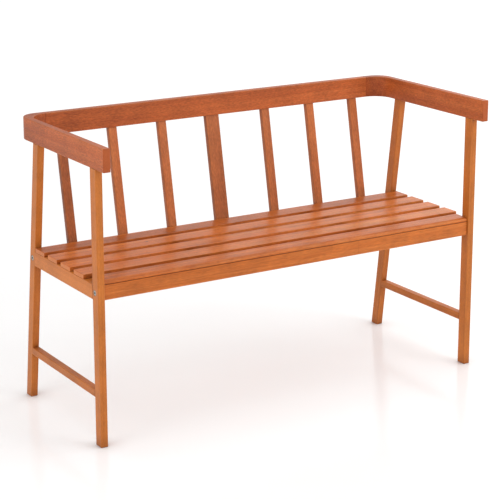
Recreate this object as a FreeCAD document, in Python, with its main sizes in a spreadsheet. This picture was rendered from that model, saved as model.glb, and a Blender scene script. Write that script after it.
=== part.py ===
import FreeCAD, Part
import os
import Sketcher

# The bench stands on Z = 0 with its front towards -Y, and X = 0 and Y = 0 are in its middle.

SIDES = (("left", -1), ("right", 1))
LONG_SLATS = 4
SPINDLES_PER_SIDE = 3

# Driving sizes in millimetres: name of the cell, value, what it measures
DRIVING = (
    ("bench_length", "1200", "outer face to outer face of the legs"),
    ("bench_depth", "503", "front end of the arms to the back of the back rail"),
    ("bench_height", "788", "floor to the top of the arms"),
    ("leg_width", "20", "legs, across the bench"),
    ("leg_depth", "30", "legs, front to back"),
    ("rear_leg_rake", "96", "how far the rear feet stand behind the tops of their legs"),
    ("arm_height", "60", "arms and back rail, bottom to top edge"),
    ("arm_thickness", "20", "arms, across the bench"),
    ("arm_overhang", "46", "arms in front of the front legs"),
    ("corner_radius", "50", "inner and outer curve of the arm corners"),
    ("corner_lip", "2", "straight run between the inner curve and the back rail"),
    ("rail_thickness", "22", "back rail, front to back"),
    ("seat_height", "441", "floor to the top of the slats"),
    ("slat_thickness", "12", "slats, top to bottom"),
    ("slat_gap", "21.3", "open gap between two slats"),
    ("front_slat_width", "52", "front slat, front to back"),
    ("slat_leg_gap", "1.5", "rear slat to the rear legs"),
    ("nose_radius", "6", "rounded front edge of the front slat"),
    ("seat_rail_height", "40", "aprons and side rails, bottom to top edge"),
    ("apron_thickness", "22", "aprons, front to back"),
    ("apron_setback", "6", "front apron behind the front faces of the legs"),
    ("side_rail_thickness", "30", "side rails, across the bench"),
    ("stretcher_height", "20", "stretchers, bottom to top edge"),
    ("stretcher_thickness", "20", "stretchers, across the bench"),
    ("stretcher_rise", "129", "floor to the underside of the stretchers"),
    ("bearer_width", "30", "seat bearers, across the bench"),
    ("bearer_height", "28", "seat bearers, bottom to top edge"),
    ("bearer_inset", "335", "middle of a bearer from the legs"),
    ("spindle_width", "26", "narrow spindles, across the bench"),
    ("spindle_thickness", "15", "spindles and splat, front to back face"),
    ("spindle_end", "47", "outer spindles from the ends of the back rail"),
    ("middle_bay_extra", "16", "how much wider each bay beside the middle is"),
    ("splat_width", "43", "centre splat, across the bench"),
    ("splat_offset", "-8", "middle of the bench to the middle of the splat"),
    ("tenon_length", "15", "tenons past their shoulders"),
    ("tenon_thickness", "8", "tenons, front to back face"),
    ("tenon_shoulder", "4", "shoulder at each side of a tenon"),
    ("edge_radius", "2", "eased edges of the timber"),
    ("dowel_diameter", "8", "wooden dowels"),
    ("dowel_length", "32", "wooden dowels"),
    ("dowel_edge", "7", "dowels from the top and bottom edges of the side rails"),
    ("corner_dowel_edge", "15", "dowels from the top and bottom edges of the back rail"),
    ("bearer_dowel_bite", "12", "dowels of the bearers into the aprons"),
    ("bearer_dowel_rise", "6.5", "dowels above the bottom edges of the bearers, clear of the tenons"),
    ("bolt_diameter", "6", "frame bolts"),
    ("bolt_head_diameter", "15", "frame bolts"),
    ("bolt_head_height", "3", "frame bolts"),
    ("bolt_head_bevel", "0.8", "bevel round the head of a frame bolt"),
    ("bolt_recess", "0.3", "bolt heads under the outer faces of the legs"),
    ("bolt_tail", "6", "bolts past the middle of their barrel nuts"),
    ("socket_width", "5", "hexagon socket, across flats"),
    ("socket_depth", "2", "hexagon socket"),
    ("nut_inset", "30", "barrel nuts from the ends of the aprons"),
    ("nut_diameter", "10", "barrel nuts"),
    ("nut_length", "14", "barrel nuts"),
    ("screw_diameter", "4", "slat screws"),
    ("screw_head_diameter", "8", "slat screws"),
    ("screw_head_height", "3", "slat screws"),
    ("screw_point", "4", "tapered end of a slat screw"),
    ("screw_grip", "14", "timber between a screw head and the slat"),
    ("screw_bite", "9", "slat screws into the slats"),
    ("glue_gap", "0.1", "side clearance of dowels, tenons and metal in their holes"),
    ("head_gap", "0.3", "side clearance of screw and bolt heads in their recesses"),
    ("end_gap", "1", "room past the ends of dowels, tenons, bolts and nuts"),
    ("cutter_margin", "1", "how far a cutter runs out of the face that it opens"),
)

# Sizes worked out from the driving ones
WORKED_OUT = (
    ("half_length", "bench_length / 2", "middle to the outer faces"),
    ("leg_inner", "half_length - leg_width", "middle to the inner faces of the legs"),
    ("thinnest", "min(leg_width; arm_thickness; side_rail_thickness; stretcher_thickness)",
     "thinnest timber of the side frames"),
    ("frame_plane", "half_length - thinnest / 2", "middle to the dowels of the side frames"),
    ("arm_front", "-bench_depth / 2", "front ends of the arms"),
    ("back_face", "bench_depth / 2", "back of the back rail and of the rear feet"),
    ("arm_bottom", "bench_height - arm_height", "floor to the underside of the arms"),
    ("arm_inner", "half_length - arm_thickness", "middle to the inner faces of the arms"),
    ("rail_front", "back_face - rail_thickness", "front face of the back rail"),
    ("rail_middle", "back_face - rail_thickness / 2", "middle of the back rail"),
    ("rail_end", "arm_inner - corner_radius - corner_lip", "middle to the ends of the back rail"),
    ("leg_front", "arm_front + arm_overhang", "front faces of the front legs"),
    ("leg_back", "leg_front + leg_depth", "back faces of the front legs"),
    ("foot_front", "back_face - leg_depth", "front of the rear feet"),
    ("rake_slope", "rear_leg_rake / arm_bottom", "how far a rear leg leans for each unit of height"),
    ("rail_top", "seat_height - slat_thickness", "top edges of the seat rails"),
    ("rail_bottom", "rail_top - seat_rail_height", "bottom edges of the seat rails"),
    ("rail_level", "rail_top - seat_rail_height / 2", "half height of the seat rails"),
    ("bearer_bottom", "rail_top - bearer_height", "bottom edges of the bearers"),
    ("bearer_level", "bearer_bottom + bearer_dowel_rise", "height of the dowels in the bearers"),
    ("front_apron_front", "leg_front + apron_setback", "front face of the front apron"),
    ("front_apron_back", "front_apron_front + apron_thickness", "back face of the front apron"),
    ("front_apron_middle", "front_apron_front + apron_thickness / 2", "middle of the front apron"),
    ("rear_apron_middle", "foot_front - rake_slope * rail_level + leg_depth / 2",
     "middle of the rear apron, centred on the rear legs"),
    ("rear_apron_front", "rear_apron_middle - apron_thickness / 2", "front face of the rear apron"),
    ("rear_apron_back", "rear_apron_middle + apron_thickness / 2", "back face of the rear apron"),
    ("slat_back", "foot_front - rake_slope * seat_height - slat_leg_gap", "back edge of the rear slat"),
    ("front_slat_back", "front_apron_front + front_slat_width", "back edge of the front slat"),
    ("slat_pitch", f"(slat_back - front_slat_back) / {LONG_SLATS}", "long slats, middle to middle"),
    ("slat_width", "slat_pitch - slat_gap", "long slats, front to back"),
    ("spindle_slope", "(rail_middle - rear_apron_middle) / (arm_bottom - rail_top)",
     "how far a spindle leans for each unit of height"),
    ("spindle_stretch", "sqrt(1 + spindle_slope * spindle_slope)",
     "level cut through a leaning unit of thickness"),
    ("spindle_pitch", f"(rail_end - spindle_end - middle_bay_extra) / {SPINDLES_PER_SIDE}",
     "narrow spindles, middle to middle"),
    ("inner_spindle", "spindle_pitch + middle_bay_extra", "middle to the nearest narrow spindles"),
    ("bearer_place", "leg_inner - bearer_inset", "middle of the bench to the middle of a bearer"),
    ("nut_place", "leg_inner - nut_inset", "middle to the barrel nuts"),
    ("bolt_length", "half_length - bolt_recess - bolt_head_height - nut_place + bolt_tail",
     "bolt under its head"),
    ("bevel_radius", "bolt_head_diameter / 2 - bolt_head_bevel", "flat outer face of a bolt head"),
    ("screw_seat", "rail_top - screw_grip", "top of the screw heads"),
    ("lowest_rail", "rail_top - max(seat_rail_height; bearer_height)", "lowest edge that a screw enters"),
)

DIRECTIONS = {
    "+x": FreeCAD.Rotation(FreeCAD.Vector(0, 1, 0), 90),
    "-x": FreeCAD.Rotation(FreeCAD.Vector(0, 1, 0), -90),
    "+y": FreeCAD.Rotation(FreeCAD.Vector(1, 0, 0), -90),
    "-y": FreeCAD.Rotation(FreeCAD.Vector(1, 0, 0), 90),
    "+z": FreeCAD.Rotation(),
}
OPPOSITE = {"+x": "-x", "-x": "+x", "+y": "-y", "-y": "+y"}
X_AXIS = FreeCAD.Vector(1, 0, 0)
Y_AXIS = FreeCAD.Vector(0, 1, 0)
Z_AXIS = FreeCAD.Vector(0, 0, 1)
SAME_PLACE = 1e-4

doc = FreeCAD.newDocument("OutdoorBench")
sheet = doc.addObject("Spreadsheet::Sheet", "Sizes")
blanks = {}
cutters = []
pieces = []


def fill_sheet():
    """Write every size into a named cell."""
    rows = list(DRIVING)
    rows += [(name, "=" + formula, note) for name, formula, note in WORKED_OUT]
    for row, (name, content, note) in enumerate(rows, start=1):
        sheet.set(f"A{row}", name)
        sheet.set(f"B{row}", content)
        sheet.set(f"C{row}", note)
        sheet.setAlias(f"B{row}", name)
    doc.recompute()


def value(formula):
    """Number that a formula gives now."""
    return float(sheet.evalExpression(formula))


def place(obj, point):
    """Tie the position of an object to three formulas."""
    for axis, formula in zip("xyz", point):
        obj.setExpression("Placement.Base." + axis, formula)


def shifted(point, direction, distance):
    """Point moved along a direction by a formula."""
    sign, axis = direction
    return tuple(
        f"{formula} {sign} ({distance})" if name == axis else formula
        for name, formula in zip("xyz", point)
    )


def new_body(name):
    """Empty body for one piece of timber."""
    return doc.addObject("PartDesign::Body", name)


def outline(body, role, corners):
    """Closed straight-sided sketch on an origin plane, with a pair of formulas for each corner."""
    sketch = body.newObject("Sketcher::SketchObject", body.Name + "_outline")
    plane = next(plane for plane in body.Origin.OriginFeatures if plane.Role == role)
    sketch.AttachmentSupport = (plane, [""])
    sketch.MapMode = "FlatFace"
    points = [FreeCAD.Vector(value(across), value(up), 0) for across, up in corners]
    following = points[1:] + points[:1]
    for start, end in zip(points, following):
        sketch.addGeometry(Part.LineSegment(start, end))
    for index in range(len(points)):
        sketch.addConstraint(Sketcher.Constraint("Coincident", index, 2, (index + 1) % len(points), 1))
    for index, formulas in enumerate(corners):
        for kind, formula in zip(("DistanceX", "DistanceY"), formulas):
            number = sketch.addConstraint(Sketcher.Constraint(kind, index, 1, value(formula)))
            sketch.setExpression(f"Constraints[{number}]", formula)
    return sketch


def pad(body, sketch, length, side_type="Symmetric"):
    """Extrude a sketch by a formula."""
    feature = body.newObject("PartDesign::Pad", sketch.Name + "_pad")
    feature.Profile = sketch
    feature.SideType = side_type
    feature.setExpression("Length", length)
    doc.recompute()
    return feature


def ease(body, feature, wanted, radius):
    """Round the edges of a feature that pass a test."""
    names = [f"Edge{number}" for number, edge in enumerate(feature.Shape.Edges, start=1) if wanted(edge)]
    fillet = body.newObject("PartDesign::Fillet", feature.Name + "_eased")
    fillet.Base = (feature, names)
    fillet.setExpression("Radius", radius)
    doc.recompute()
    return fillet


def runs_along(edge, axis):
    """True for an edge within about 45 degrees of an axis."""
    step = edge.Vertexes[-1].Point - edge.Vertexes[0].Point
    return abs(step.dot(axis)) > 0.7 * step.Length


def lies_at(edge, axis, distance):
    """True for an edge in the plane at a distance along an axis."""
    return all(abs(vertex.Point.dot(axis) - distance) < SAME_PLACE for vertex in edge.Vertexes)


def rectangle(across, up):
    """Corners of a rectangle from two pairs of formulas."""
    left, right = across
    low, high = up
    return [(left, low), (right, low), (right, high), (left, high)]


def edge_rounding(thickness):
    """Easing that leaves a flat on the thinnest side of a piece."""
    return f"min(Sizes.edge_radius; {thickness} / 4)"


def rear_leg_face(height):
    """Front face of a rear leg at a height above the floor."""
    return f"Sizes.foot_front - Sizes.rake_slope * ({height})"


def front_leg(side, sign):
    """Upright front leg with eased edges and foot."""
    body = new_body(f"{side}_front_leg_blank")
    corners = rectangle(("Sizes.leg_front", "Sizes.leg_back"), ("0", "Sizes.arm_bottom"))
    finish_leg(body, corners, sign)
    blanks[f"{side}_front_leg"] = body


def rear_leg(side, sign):
    """Raked rear leg, cut level at the floor and under the arm."""
    body = new_body(f"{side}_rear_leg_blank")
    top_front = rear_leg_face("Sizes.arm_bottom")
    corners = [
        ("Sizes.foot_front", "0"),
        ("Sizes.back_face", "0"),
        (f"{top_front} + Sizes.leg_depth", "Sizes.arm_bottom"),
        (top_front, "Sizes.arm_bottom"),
    ]
    finish_leg(body, corners, sign)
    blanks[f"{side}_rear_leg"] = body


def finish_leg(body, corners, sign):
    """Pad a leg, ease its long edges and its foot, and stand it at one side."""
    blank = pad(body, outline(body, "YZ_Plane", corners), "Sizes.leg_width")
    ease(
        body,
        blank,
        lambda edge: runs_along(edge, Z_AXIS) or lies_at(edge, Z_AXIS, 0),
        edge_rounding("min(Sizes.leg_width; Sizes.leg_depth)"),
    )
    place(body, (f"{sign} * (Sizes.half_length - Sizes.leg_width / 2)", "0", "0"))


def arm(side, sign):
    """Arm board with its round corner, as far as the joint with the back rail."""
    body = new_body(f"{side}_arm_blank")
    outer = f"{sign} * Sizes.half_length"
    inner = f"{sign} * Sizes.arm_inner"
    joint = f"{sign} * Sizes.rail_end"
    corners = [
        (outer, "Sizes.arm_front"),
        (outer, "Sizes.back_face"),
        (joint, "Sizes.back_face"),
        (joint, "Sizes.rail_front"),
        (inner, "Sizes.rail_front"),
        (inner, "Sizes.arm_front"),
    ]
    board = pad(body, outline(body, "XY_Plane", corners), "Sizes.arm_height", "One side")
    bends = ((value(outer), value("Sizes.back_face")), (value(inner), value("Sizes.rail_front")))
    bent = ease(
        body,
        board,
        lambda edge: any(lies_at(edge, X_AXIS, x) and lies_at(edge, Y_AXIS, y) for x, y in bends),
        "Sizes.corner_radius",
    )
    front = value("Sizes.arm_front")
    ease(
        body,
        bent,
        lambda edge: not lies_at(edge, X_AXIS, value(joint))
        and (not runs_along(edge, Z_AXIS) or lies_at(edge, Y_AXIS, front)),
        edge_rounding("Sizes.arm_thickness"),
    )
    place(body, ("0", "0", "Sizes.arm_bottom"))
    blanks[f"{side}_arm"] = body


def cross_piece(name, across, up, length, thickness):
    """Straight timber along the bench, with eased long edges."""
    body = new_body(f"{name}_blank")
    blank = pad(body, outline(body, "YZ_Plane", rectangle(across, up)), length)
    ease(body, blank, lambda edge: runs_along(edge, X_AXIS), edge_rounding(thickness))
    blanks[name] = body


def side_piece(name, sign, up, thickness):
    """Timber between the legs of one side, cut to the rake of the rear leg."""
    body = new_body(f"{name}_blank")
    bottom, top = up
    corners = [
        ("Sizes.leg_back", bottom),
        (rear_leg_face(bottom), bottom),
        (rear_leg_face(top), top),
        ("Sizes.leg_back", top),
    ]
    blank = pad(body, outline(body, "YZ_Plane", corners), thickness)
    ease(body, blank, lambda edge: runs_along(edge, Y_AXIS), edge_rounding(thickness))
    place(body, (f"{sign} * (Sizes.half_length - {thickness} / 2)", "0", "0"))
    blanks[name] = body


def slat_middle(number):
    """Middle of a long slat, counted from the rear."""
    return f"Sizes.slat_back - Sizes.slat_width / 2 - {number - 1} * Sizes.slat_pitch"


def long_slat(number):
    """Slat over both side rails, eased all round."""
    body = new_body(f"seat_slat_{number}_blank")
    middle = slat_middle(number)
    across = (f"{middle} - Sizes.slat_width / 2", f"{middle} + Sizes.slat_width / 2")
    corners = rectangle(across, ("Sizes.rail_top", "Sizes.seat_height"))
    blank = pad(body, outline(body, "YZ_Plane", corners), "Sizes.bench_length")
    ease(body, blank, lambda edge: True, edge_rounding("Sizes.slat_thickness"))
    blanks[f"seat_slat_{number}"] = body


def front_slat():
    """Slat between the front legs, with a rounded nose above the front apron."""
    body = new_body("front_slat_blank")
    across = ("Sizes.front_apron_front", "Sizes.front_slat_back")
    corners = rectangle(across, ("Sizes.rail_top", "Sizes.seat_height"))
    blank = pad(body, outline(body, "YZ_Plane", corners), "2 * Sizes.leg_inner")
    front = value("Sizes.front_apron_front")
    top = value("Sizes.seat_height")
    nosed = ease(
        body,
        blank,
        lambda edge: lies_at(edge, Y_AXIS, front) and lies_at(edge, Z_AXIS, top),
        "min(Sizes.nose_radius; Sizes.slat_thickness / 2)",
    )
    back = value("Sizes.front_slat_back")
    ease(
        body,
        nosed,
        lambda edge: runs_along(edge, X_AXIS) and lies_at(edge, Y_AXIS, back),
        edge_rounding("Sizes.slat_thickness"),
    )
    blanks["front_slat"] = body


def bearer(side, sign):
    """Plain bar under the slats, between the two aprons."""
    box = doc.addObject("Part::Box", f"{side}_bearer_blank")
    box.setExpression("Length", "Sizes.bearer_width")
    box.setExpression("Width", "Sizes.rear_apron_front - Sizes.front_apron_back")
    box.setExpression("Height", "Sizes.bearer_height")
    left = f"{sign} * Sizes.bearer_place - Sizes.bearer_width / 2"
    place(box, (left, "Sizes.front_apron_back", "Sizes.bearer_bottom"))
    blanks[f"{side}_bearer"] = box


def leaning_corners(thickness, reach):
    """Side view of a leaning bar that reaches past the rear apron and the back rail."""
    low = f"Sizes.rail_top - ({reach})"
    high = f"Sizes.arm_bottom + ({reach})"
    low_middle = f"Sizes.rear_apron_middle - Sizes.spindle_slope * ({reach})"
    high_middle = f"Sizes.rail_middle + Sizes.spindle_slope * ({reach})"
    half = f"({thickness}) * Sizes.spindle_stretch / 2"
    return [
        (f"{low_middle} - {half}", low),
        (f"{low_middle} + {half}", low),
        (f"{high_middle} + {half}", high),
        (f"{high_middle} - {half}", high),
    ]


def spindle(name, middle, width):
    """Leaning upright with a tenon at each end, and the mortises for it."""
    body = new_body(name)
    corners = leaning_corners("Sizes.spindle_thickness", "0")
    upright = pad(body, outline(body, "YZ_Plane", corners), width)
    rounding = edge_rounding(f"min({width}; Sizes.spindle_thickness)")
    ease(body, upright, lambda edge: runs_along(edge, Z_AXIS), rounding)
    tenon_corners = leaning_corners("Sizes.tenon_thickness", "Sizes.tenon_length")
    tenon_width = f"{width} - 2 * Sizes.tenon_shoulder"
    pad(body, outline(body, "YZ_Plane", tenon_corners), tenon_width)
    place(body, (middle, "0", "0"))
    pieces.append(body)

    mortise = new_body(f"{name}_mortise")
    mortise_corners = leaning_corners(
        "Sizes.tenon_thickness + 2 * Sizes.glue_gap",
        "Sizes.tenon_length + Sizes.end_gap",
    )
    pad(mortise, outline(mortise, "YZ_Plane", mortise_corners), f"{tenon_width} + 2 * Sizes.glue_gap")
    place(mortise, (middle, "0", "0"))
    cutters.append(mortise)


def back_uprights():
    """Six narrow spindles, numbered from the left, and the centre splat."""
    steps = range(SPINDLES_PER_SIDE)
    places = [f"-Sizes.inner_spindle - {step} * Sizes.spindle_pitch" for step in reversed(steps)]
    places += [f"Sizes.inner_spindle + {step} * Sizes.spindle_pitch" for step in steps]
    for number, middle in enumerate(places, start=1):
        spindle(f"spindle_{number}", middle, "Sizes.spindle_width")
    spindle("centre_splat", "Sizes.splat_offset", "Sizes.splat_width")


def stand(solid, direction, foot):
    """Point a solid in a direction, with its foot at a point."""
    solid.Placement = FreeCAD.Placement(FreeCAD.Vector(), DIRECTIONS[direction])
    place(solid, foot)
    return solid


def rod(direction, radius, length, foot):
    """Cylinder from its foot in a direction."""
    cylinder = doc.addObject("Part::Cylinder", "rod")
    cylinder.setExpression("Radius", radius)
    cylinder.setExpression("Height", length)
    return stand(cylinder, direction, foot)


def taper(direction, foot_radius, end_radius, length, foot):
    """Cone from its foot in a direction."""
    cone = doc.addObject("Part::Cone", "taper")
    cone.setExpression("Radius1", foot_radius)
    cone.setExpression("Radius2", end_radius)
    cone.setExpression("Height", length)
    return stand(cone, direction, foot)


def joined(solids):
    """One solid from several that touch."""
    fuse = doc.addObject("Part::MultiFuse", "joined")
    fuse.Shapes = solids
    return fuse


def without(solid, hole):
    """Solid with a hole in it."""
    cut = doc.addObject("Part::Cut", "bored")
    cut.Base = solid
    cut.Tool = hole
    return cut


def group(name, solids):
    """Node that holds several like solids."""
    compound = doc.addObject("Part::Compound", name)
    compound.Links = solids
    pieces.append(compound)


def dowel(direction, joint, bite="Sizes.dowel_length / 2"):
    """Dowel across a joint, from a bite behind it, with the bore for it."""
    foot = shifted(joint, OPPOSITE.get(direction, "-z"), bite)
    bore_foot = shifted(foot, OPPOSITE.get(direction, "-z"), "Sizes.end_gap")
    bore_length = "Sizes.dowel_length + 2 * Sizes.end_gap"
    cutters.append(rod(direction, "Sizes.dowel_diameter / 2 + Sizes.glue_gap", bore_length, bore_foot))
    return rod(direction, "Sizes.dowel_diameter / 2", "Sizes.dowel_length", foot)


def side_frame_dowels():
    """Dowels of the legs, side rails and stretchers, all in the plane of a side frame."""
    leg_dowels = []
    rail_dowels = []
    stretcher_dowels = []
    front_middle = "Sizes.leg_front + Sizes.leg_depth / 2"
    rear_middle = f"{rear_leg_face('Sizes.arm_bottom')} + Sizes.leg_depth / 2"
    rail_heights = ("Sizes.rail_bottom + Sizes.dowel_edge", "Sizes.rail_top - Sizes.dowel_edge")
    stretcher_level = "Sizes.stretcher_rise + Sizes.stretcher_height / 2"
    for _side, sign in SIDES:
        plane = f"{sign} * Sizes.frame_plane"
        for middle in (front_middle, rear_middle):
            leg_dowels.append(dowel("+z", (plane, middle, "Sizes.arm_bottom")))
        for height in rail_heights:
            for face in ("Sizes.leg_back", rear_leg_face(height)):
                rail_dowels.append(dowel("+y", (plane, face, height)))
        for face in ("Sizes.leg_back", rear_leg_face(stretcher_level)):
            stretcher_dowels.append(dowel("+y", (plane, face, stretcher_level)))
    group("leg_dowels", leg_dowels)
    group("side_rail_dowels", rail_dowels)
    group("stretcher_dowels", stretcher_dowels)


def corner_dowels():
    """Dowels across the joints between the back rail and the arms."""
    dowels = []
    heights = ("Sizes.arm_bottom + Sizes.corner_dowel_edge", "Sizes.bench_height - Sizes.corner_dowel_edge")
    for _side, sign in SIDES:
        for height in heights:
            dowels.append(dowel("+x", (f"{sign} * Sizes.rail_end", "Sizes.rail_middle", height)))
    group("corner_dowels", dowels)


def bearer_dowels():
    """Dowels between the bearers and the aprons."""
    dowels = []
    for _side, sign in SIDES:
        middle = f"{sign} * Sizes.bearer_place"
        front_joint = (middle, "Sizes.front_apron_back", "Sizes.bearer_level")
        rear_joint = (middle, "Sizes.rear_apron_front", "Sizes.bearer_level")
        dowels.append(dowel("+y", front_joint, "Sizes.bearer_dowel_bite"))
        dowels.append(dowel("-y", rear_joint, "Sizes.bearer_dowel_bite"))
    group("bearer_dowels", dowels)


def frame_bolt(inward, outer):
    """Flat-headed bolt from the outer face of a leg, with its hole and recess."""
    outward = OPPOSITE[inward]
    head_foot = shifted(outer, inward, "Sizes.bolt_recess")
    rim_foot = shifted(head_foot, inward, "Sizes.bolt_head_bevel")
    shank_foot = shifted(head_foot, inward, "Sizes.bolt_head_height")
    head_radius = "Sizes.bolt_head_diameter / 2"
    bevel = taper(inward, "Sizes.bevel_radius", head_radius, "Sizes.bolt_head_bevel", head_foot)
    rim = rod(inward, head_radius, "Sizes.bolt_head_height - Sizes.bolt_head_bevel", rim_foot)
    shank = rod(inward, "Sizes.bolt_diameter / 2", "Sizes.bolt_length", shank_foot)
    socket = doc.addObject("Part::Prism", "socket")
    socket.Polygon = 6
    socket.setExpression("Circumradius", "Sizes.socket_width / sqrt(3)")
    socket.setExpression("Height", "Sizes.socket_depth")
    stand(socket, inward, head_foot)

    recess_depth = "Sizes.bolt_recess + Sizes.bolt_head_height + Sizes.cutter_margin"
    recess_foot = shifted(outer, outward, "Sizes.cutter_margin")
    cutters.append(rod(inward, f"{head_radius} + Sizes.head_gap", recess_depth, recess_foot))
    hole_length = "Sizes.bolt_length + Sizes.end_gap"
    cutters.append(rod(inward, "Sizes.bolt_diameter / 2 + Sizes.glue_gap", hole_length, shank_foot))
    return without(joined([bevel, rim, shank]), socket)


def barrel_nut(inside, middle):
    """Cross nut in an apron, with the hole that it goes in by."""
    outside = OPPOSITE[inside]
    foot = shifted(middle, outside, "Sizes.nut_length / 2")
    body = rod(inside, "Sizes.nut_diameter / 2", "Sizes.nut_length", foot)
    thread_foot = shifted(middle, "-x", "Sizes.nut_diameter")
    thread_radius = "Sizes.bolt_diameter / 2 + Sizes.glue_gap"
    thread = rod("+x", thread_radius, "2 * Sizes.nut_diameter", thread_foot)

    bore_foot = shifted(foot, outside, "Sizes.end_gap")
    bore_length = "Sizes.nut_length / 2 + Sizes.end_gap + Sizes.apron_thickness / 2 + Sizes.cutter_margin"
    cutters.append(rod(inside, "Sizes.nut_diameter / 2 + Sizes.glue_gap", bore_length, bore_foot))
    return without(body, thread)


def apron_fixings():
    """A bolt and a barrel nut at each end of both aprons."""
    bolts = []
    nuts = []
    aprons = (("Sizes.front_apron_middle", "+y"), ("Sizes.rear_apron_middle", "-y"))
    for middle, inside in aprons:
        for _side, sign in SIDES:
            inward = "+x" if sign < 0 else "-x"
            bolts.append(frame_bolt(inward, (f"{sign} * Sizes.half_length", middle, "Sizes.rail_level")))
            nuts.append(barrel_nut(inside, (f"{sign} * Sizes.nut_place", middle, "Sizes.rail_level")))
    group("frame_bolts", bolts)
    group("barrel_nuts", nuts)


def slat_screw(x, y):
    """Screw up into a slat, with its hole and the recess below its head."""
    seat = (x, y, "Sizes.screw_seat")
    head_foot = shifted(seat, "-z", "Sizes.screw_head_height")
    radius = "Sizes.screw_diameter / 2"
    reach = "Sizes.screw_grip + Sizes.screw_bite"
    head = rod("+z", "Sizes.screw_head_diameter / 2", "Sizes.screw_head_height", head_foot)
    shank = rod("+z", radius, f"{reach} - Sizes.screw_point", seat)
    point_foot = shifted(seat, "+z", f"{reach} - Sizes.screw_point")
    point = taper("+z", radius, "Sizes.screw_diameter / 10", "Sizes.screw_point", point_foot)

    cutters.append(rod("+z", f"{radius} + Sizes.glue_gap", f"{reach} + Sizes.glue_gap", seat))
    recess_foot = (x, y, "Sizes.lowest_rail - Sizes.cutter_margin")
    recess_depth = "Sizes.screw_seat - Sizes.lowest_rail + Sizes.cutter_margin"
    recess_radius = "Sizes.screw_head_diameter / 2 + Sizes.head_gap"
    cutters.append(rod("+z", recess_radius, recess_depth, recess_foot))
    return joined([head, shank, point])


def slat_screws():
    """Screws of the long slats in the side rails and bearers, and of the front slat in its apron."""
    screws = []
    apron_places = ("Sizes.bearer_place / 2", "(Sizes.bearer_place + Sizes.leg_inner) / 2")
    for _side, sign in SIDES:
        for number in range(1, LONG_SLATS + 1):
            for across in ("Sizes.frame_plane", "Sizes.bearer_place"):
                screws.append(slat_screw(f"{sign} * {across}", slat_middle(number)))
        for across in apron_places:
            screws.append(slat_screw(f"{sign} * {across}", "Sizes.front_apron_middle"))
    group("slat_screws", screws)


def drill_blanks():
    """Cut the holes and mortises out of every blank that they reach."""
    holes = joined(cutters)
    for name, blank in blanks.items():
        drilled = without(blank, holes)
        drilled.Label = name
        pieces.append(drilled)


def build():
    """Make every piece of the bench."""
    fill_sheet()
    seat_rail = ("Sizes.rail_bottom", "Sizes.rail_top")
    stretcher = ("Sizes.stretcher_rise", "Sizes.stretcher_rise + Sizes.stretcher_height")
    for side, sign in SIDES:
        front_leg(side, sign)
        rear_leg(side, sign)
        arm(side, sign)
        side_piece(f"{side}_side_rail", sign, seat_rail, "Sizes.side_rail_thickness")
        side_piece(f"{side}_stretcher", sign, stretcher, "Sizes.stretcher_thickness")
        bearer(side, sign)
    apron_length = "2 * Sizes.leg_inner"
    front_apron = ("Sizes.front_apron_front", "Sizes.front_apron_back")
    rear_apron = ("Sizes.rear_apron_front", "Sizes.rear_apron_back")
    cross_piece("front_apron", front_apron, seat_rail, apron_length, "Sizes.apron_thickness")
    cross_piece("rear_apron", rear_apron, seat_rail, apron_length, "Sizes.apron_thickness")
    back_rail = ("Sizes.rail_front", "Sizes.back_face")
    back_rail_height = ("Sizes.arm_bottom", "Sizes.bench_height")
    cross_piece("back_rail", back_rail, back_rail_height, "2 * Sizes.rail_end", "Sizes.rail_thickness")
    for number in range(1, LONG_SLATS + 1):
        long_slat(number)
    front_slat()
    back_uprights()
    side_frame_dowels()
    corner_dowels()
    bearer_dowels()
    apron_fixings()
    slat_screws()
    drill_blanks()
    doc.recompute()


def check_pieces():
    """Stop if an object failed or a piece has no sound shape."""
    for obj in doc.Objects:
        if "Invalid" in obj.State or "Error" in obj.State:
            raise RuntimeError(f"{obj.Label} failed: {obj.State}")
    for piece in pieces:
        if piece.Shape.isNull() or not piece.Shape.isValid():
            raise RuntimeError(f"{piece.Label} has no sound shape")


def write_pieces():
    """Write each piece to a file with its own name."""
    os.makedirs("parts", exist_ok=True)
    for piece in pieces:
        piece.Shape.exportStep(f"parts/{piece.Label}.step")
        print(f"{piece.Label}: {len(piece.Shape.Solids)} solids, {piece.Shape.Volume / 1000:.1f} cm3")


build()
check_pieces()
write_pieces()
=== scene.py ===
import logging
import math
import random
from dataclasses import dataclass, field
from enum import Enum
from typing import Any, ClassVar

import bmesh
import bpy
from mathutils import Matrix, Vector


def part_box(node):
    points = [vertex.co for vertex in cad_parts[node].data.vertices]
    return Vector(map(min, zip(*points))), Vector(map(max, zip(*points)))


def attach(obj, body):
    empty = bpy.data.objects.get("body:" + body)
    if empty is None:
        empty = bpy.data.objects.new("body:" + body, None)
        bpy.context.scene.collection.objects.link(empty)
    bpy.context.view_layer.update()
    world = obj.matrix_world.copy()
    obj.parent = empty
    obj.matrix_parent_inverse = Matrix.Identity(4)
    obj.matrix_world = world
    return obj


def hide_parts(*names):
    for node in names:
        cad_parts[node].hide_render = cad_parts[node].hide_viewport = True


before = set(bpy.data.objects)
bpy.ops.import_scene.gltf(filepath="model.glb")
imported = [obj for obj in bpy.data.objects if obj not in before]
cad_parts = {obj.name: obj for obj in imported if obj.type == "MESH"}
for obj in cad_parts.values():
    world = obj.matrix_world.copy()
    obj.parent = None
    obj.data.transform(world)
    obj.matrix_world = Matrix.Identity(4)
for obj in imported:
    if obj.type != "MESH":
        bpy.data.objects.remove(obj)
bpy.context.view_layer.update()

log = logging.getLogger("outdoor_bench")

BODY = "root"
IMAGE_WIDTH = 500

Colour = tuple[float, float, float]
Place = tuple[float, float, float]
Span = tuple[float, float]
Section = tuple[Vector, Vector, Vector, Vector]
Socket = bpy.types.NodeSocket
Feed = Socket | float | tuple[float, ...] | Vector
Sockets = dict[str | int, Feed]

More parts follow.
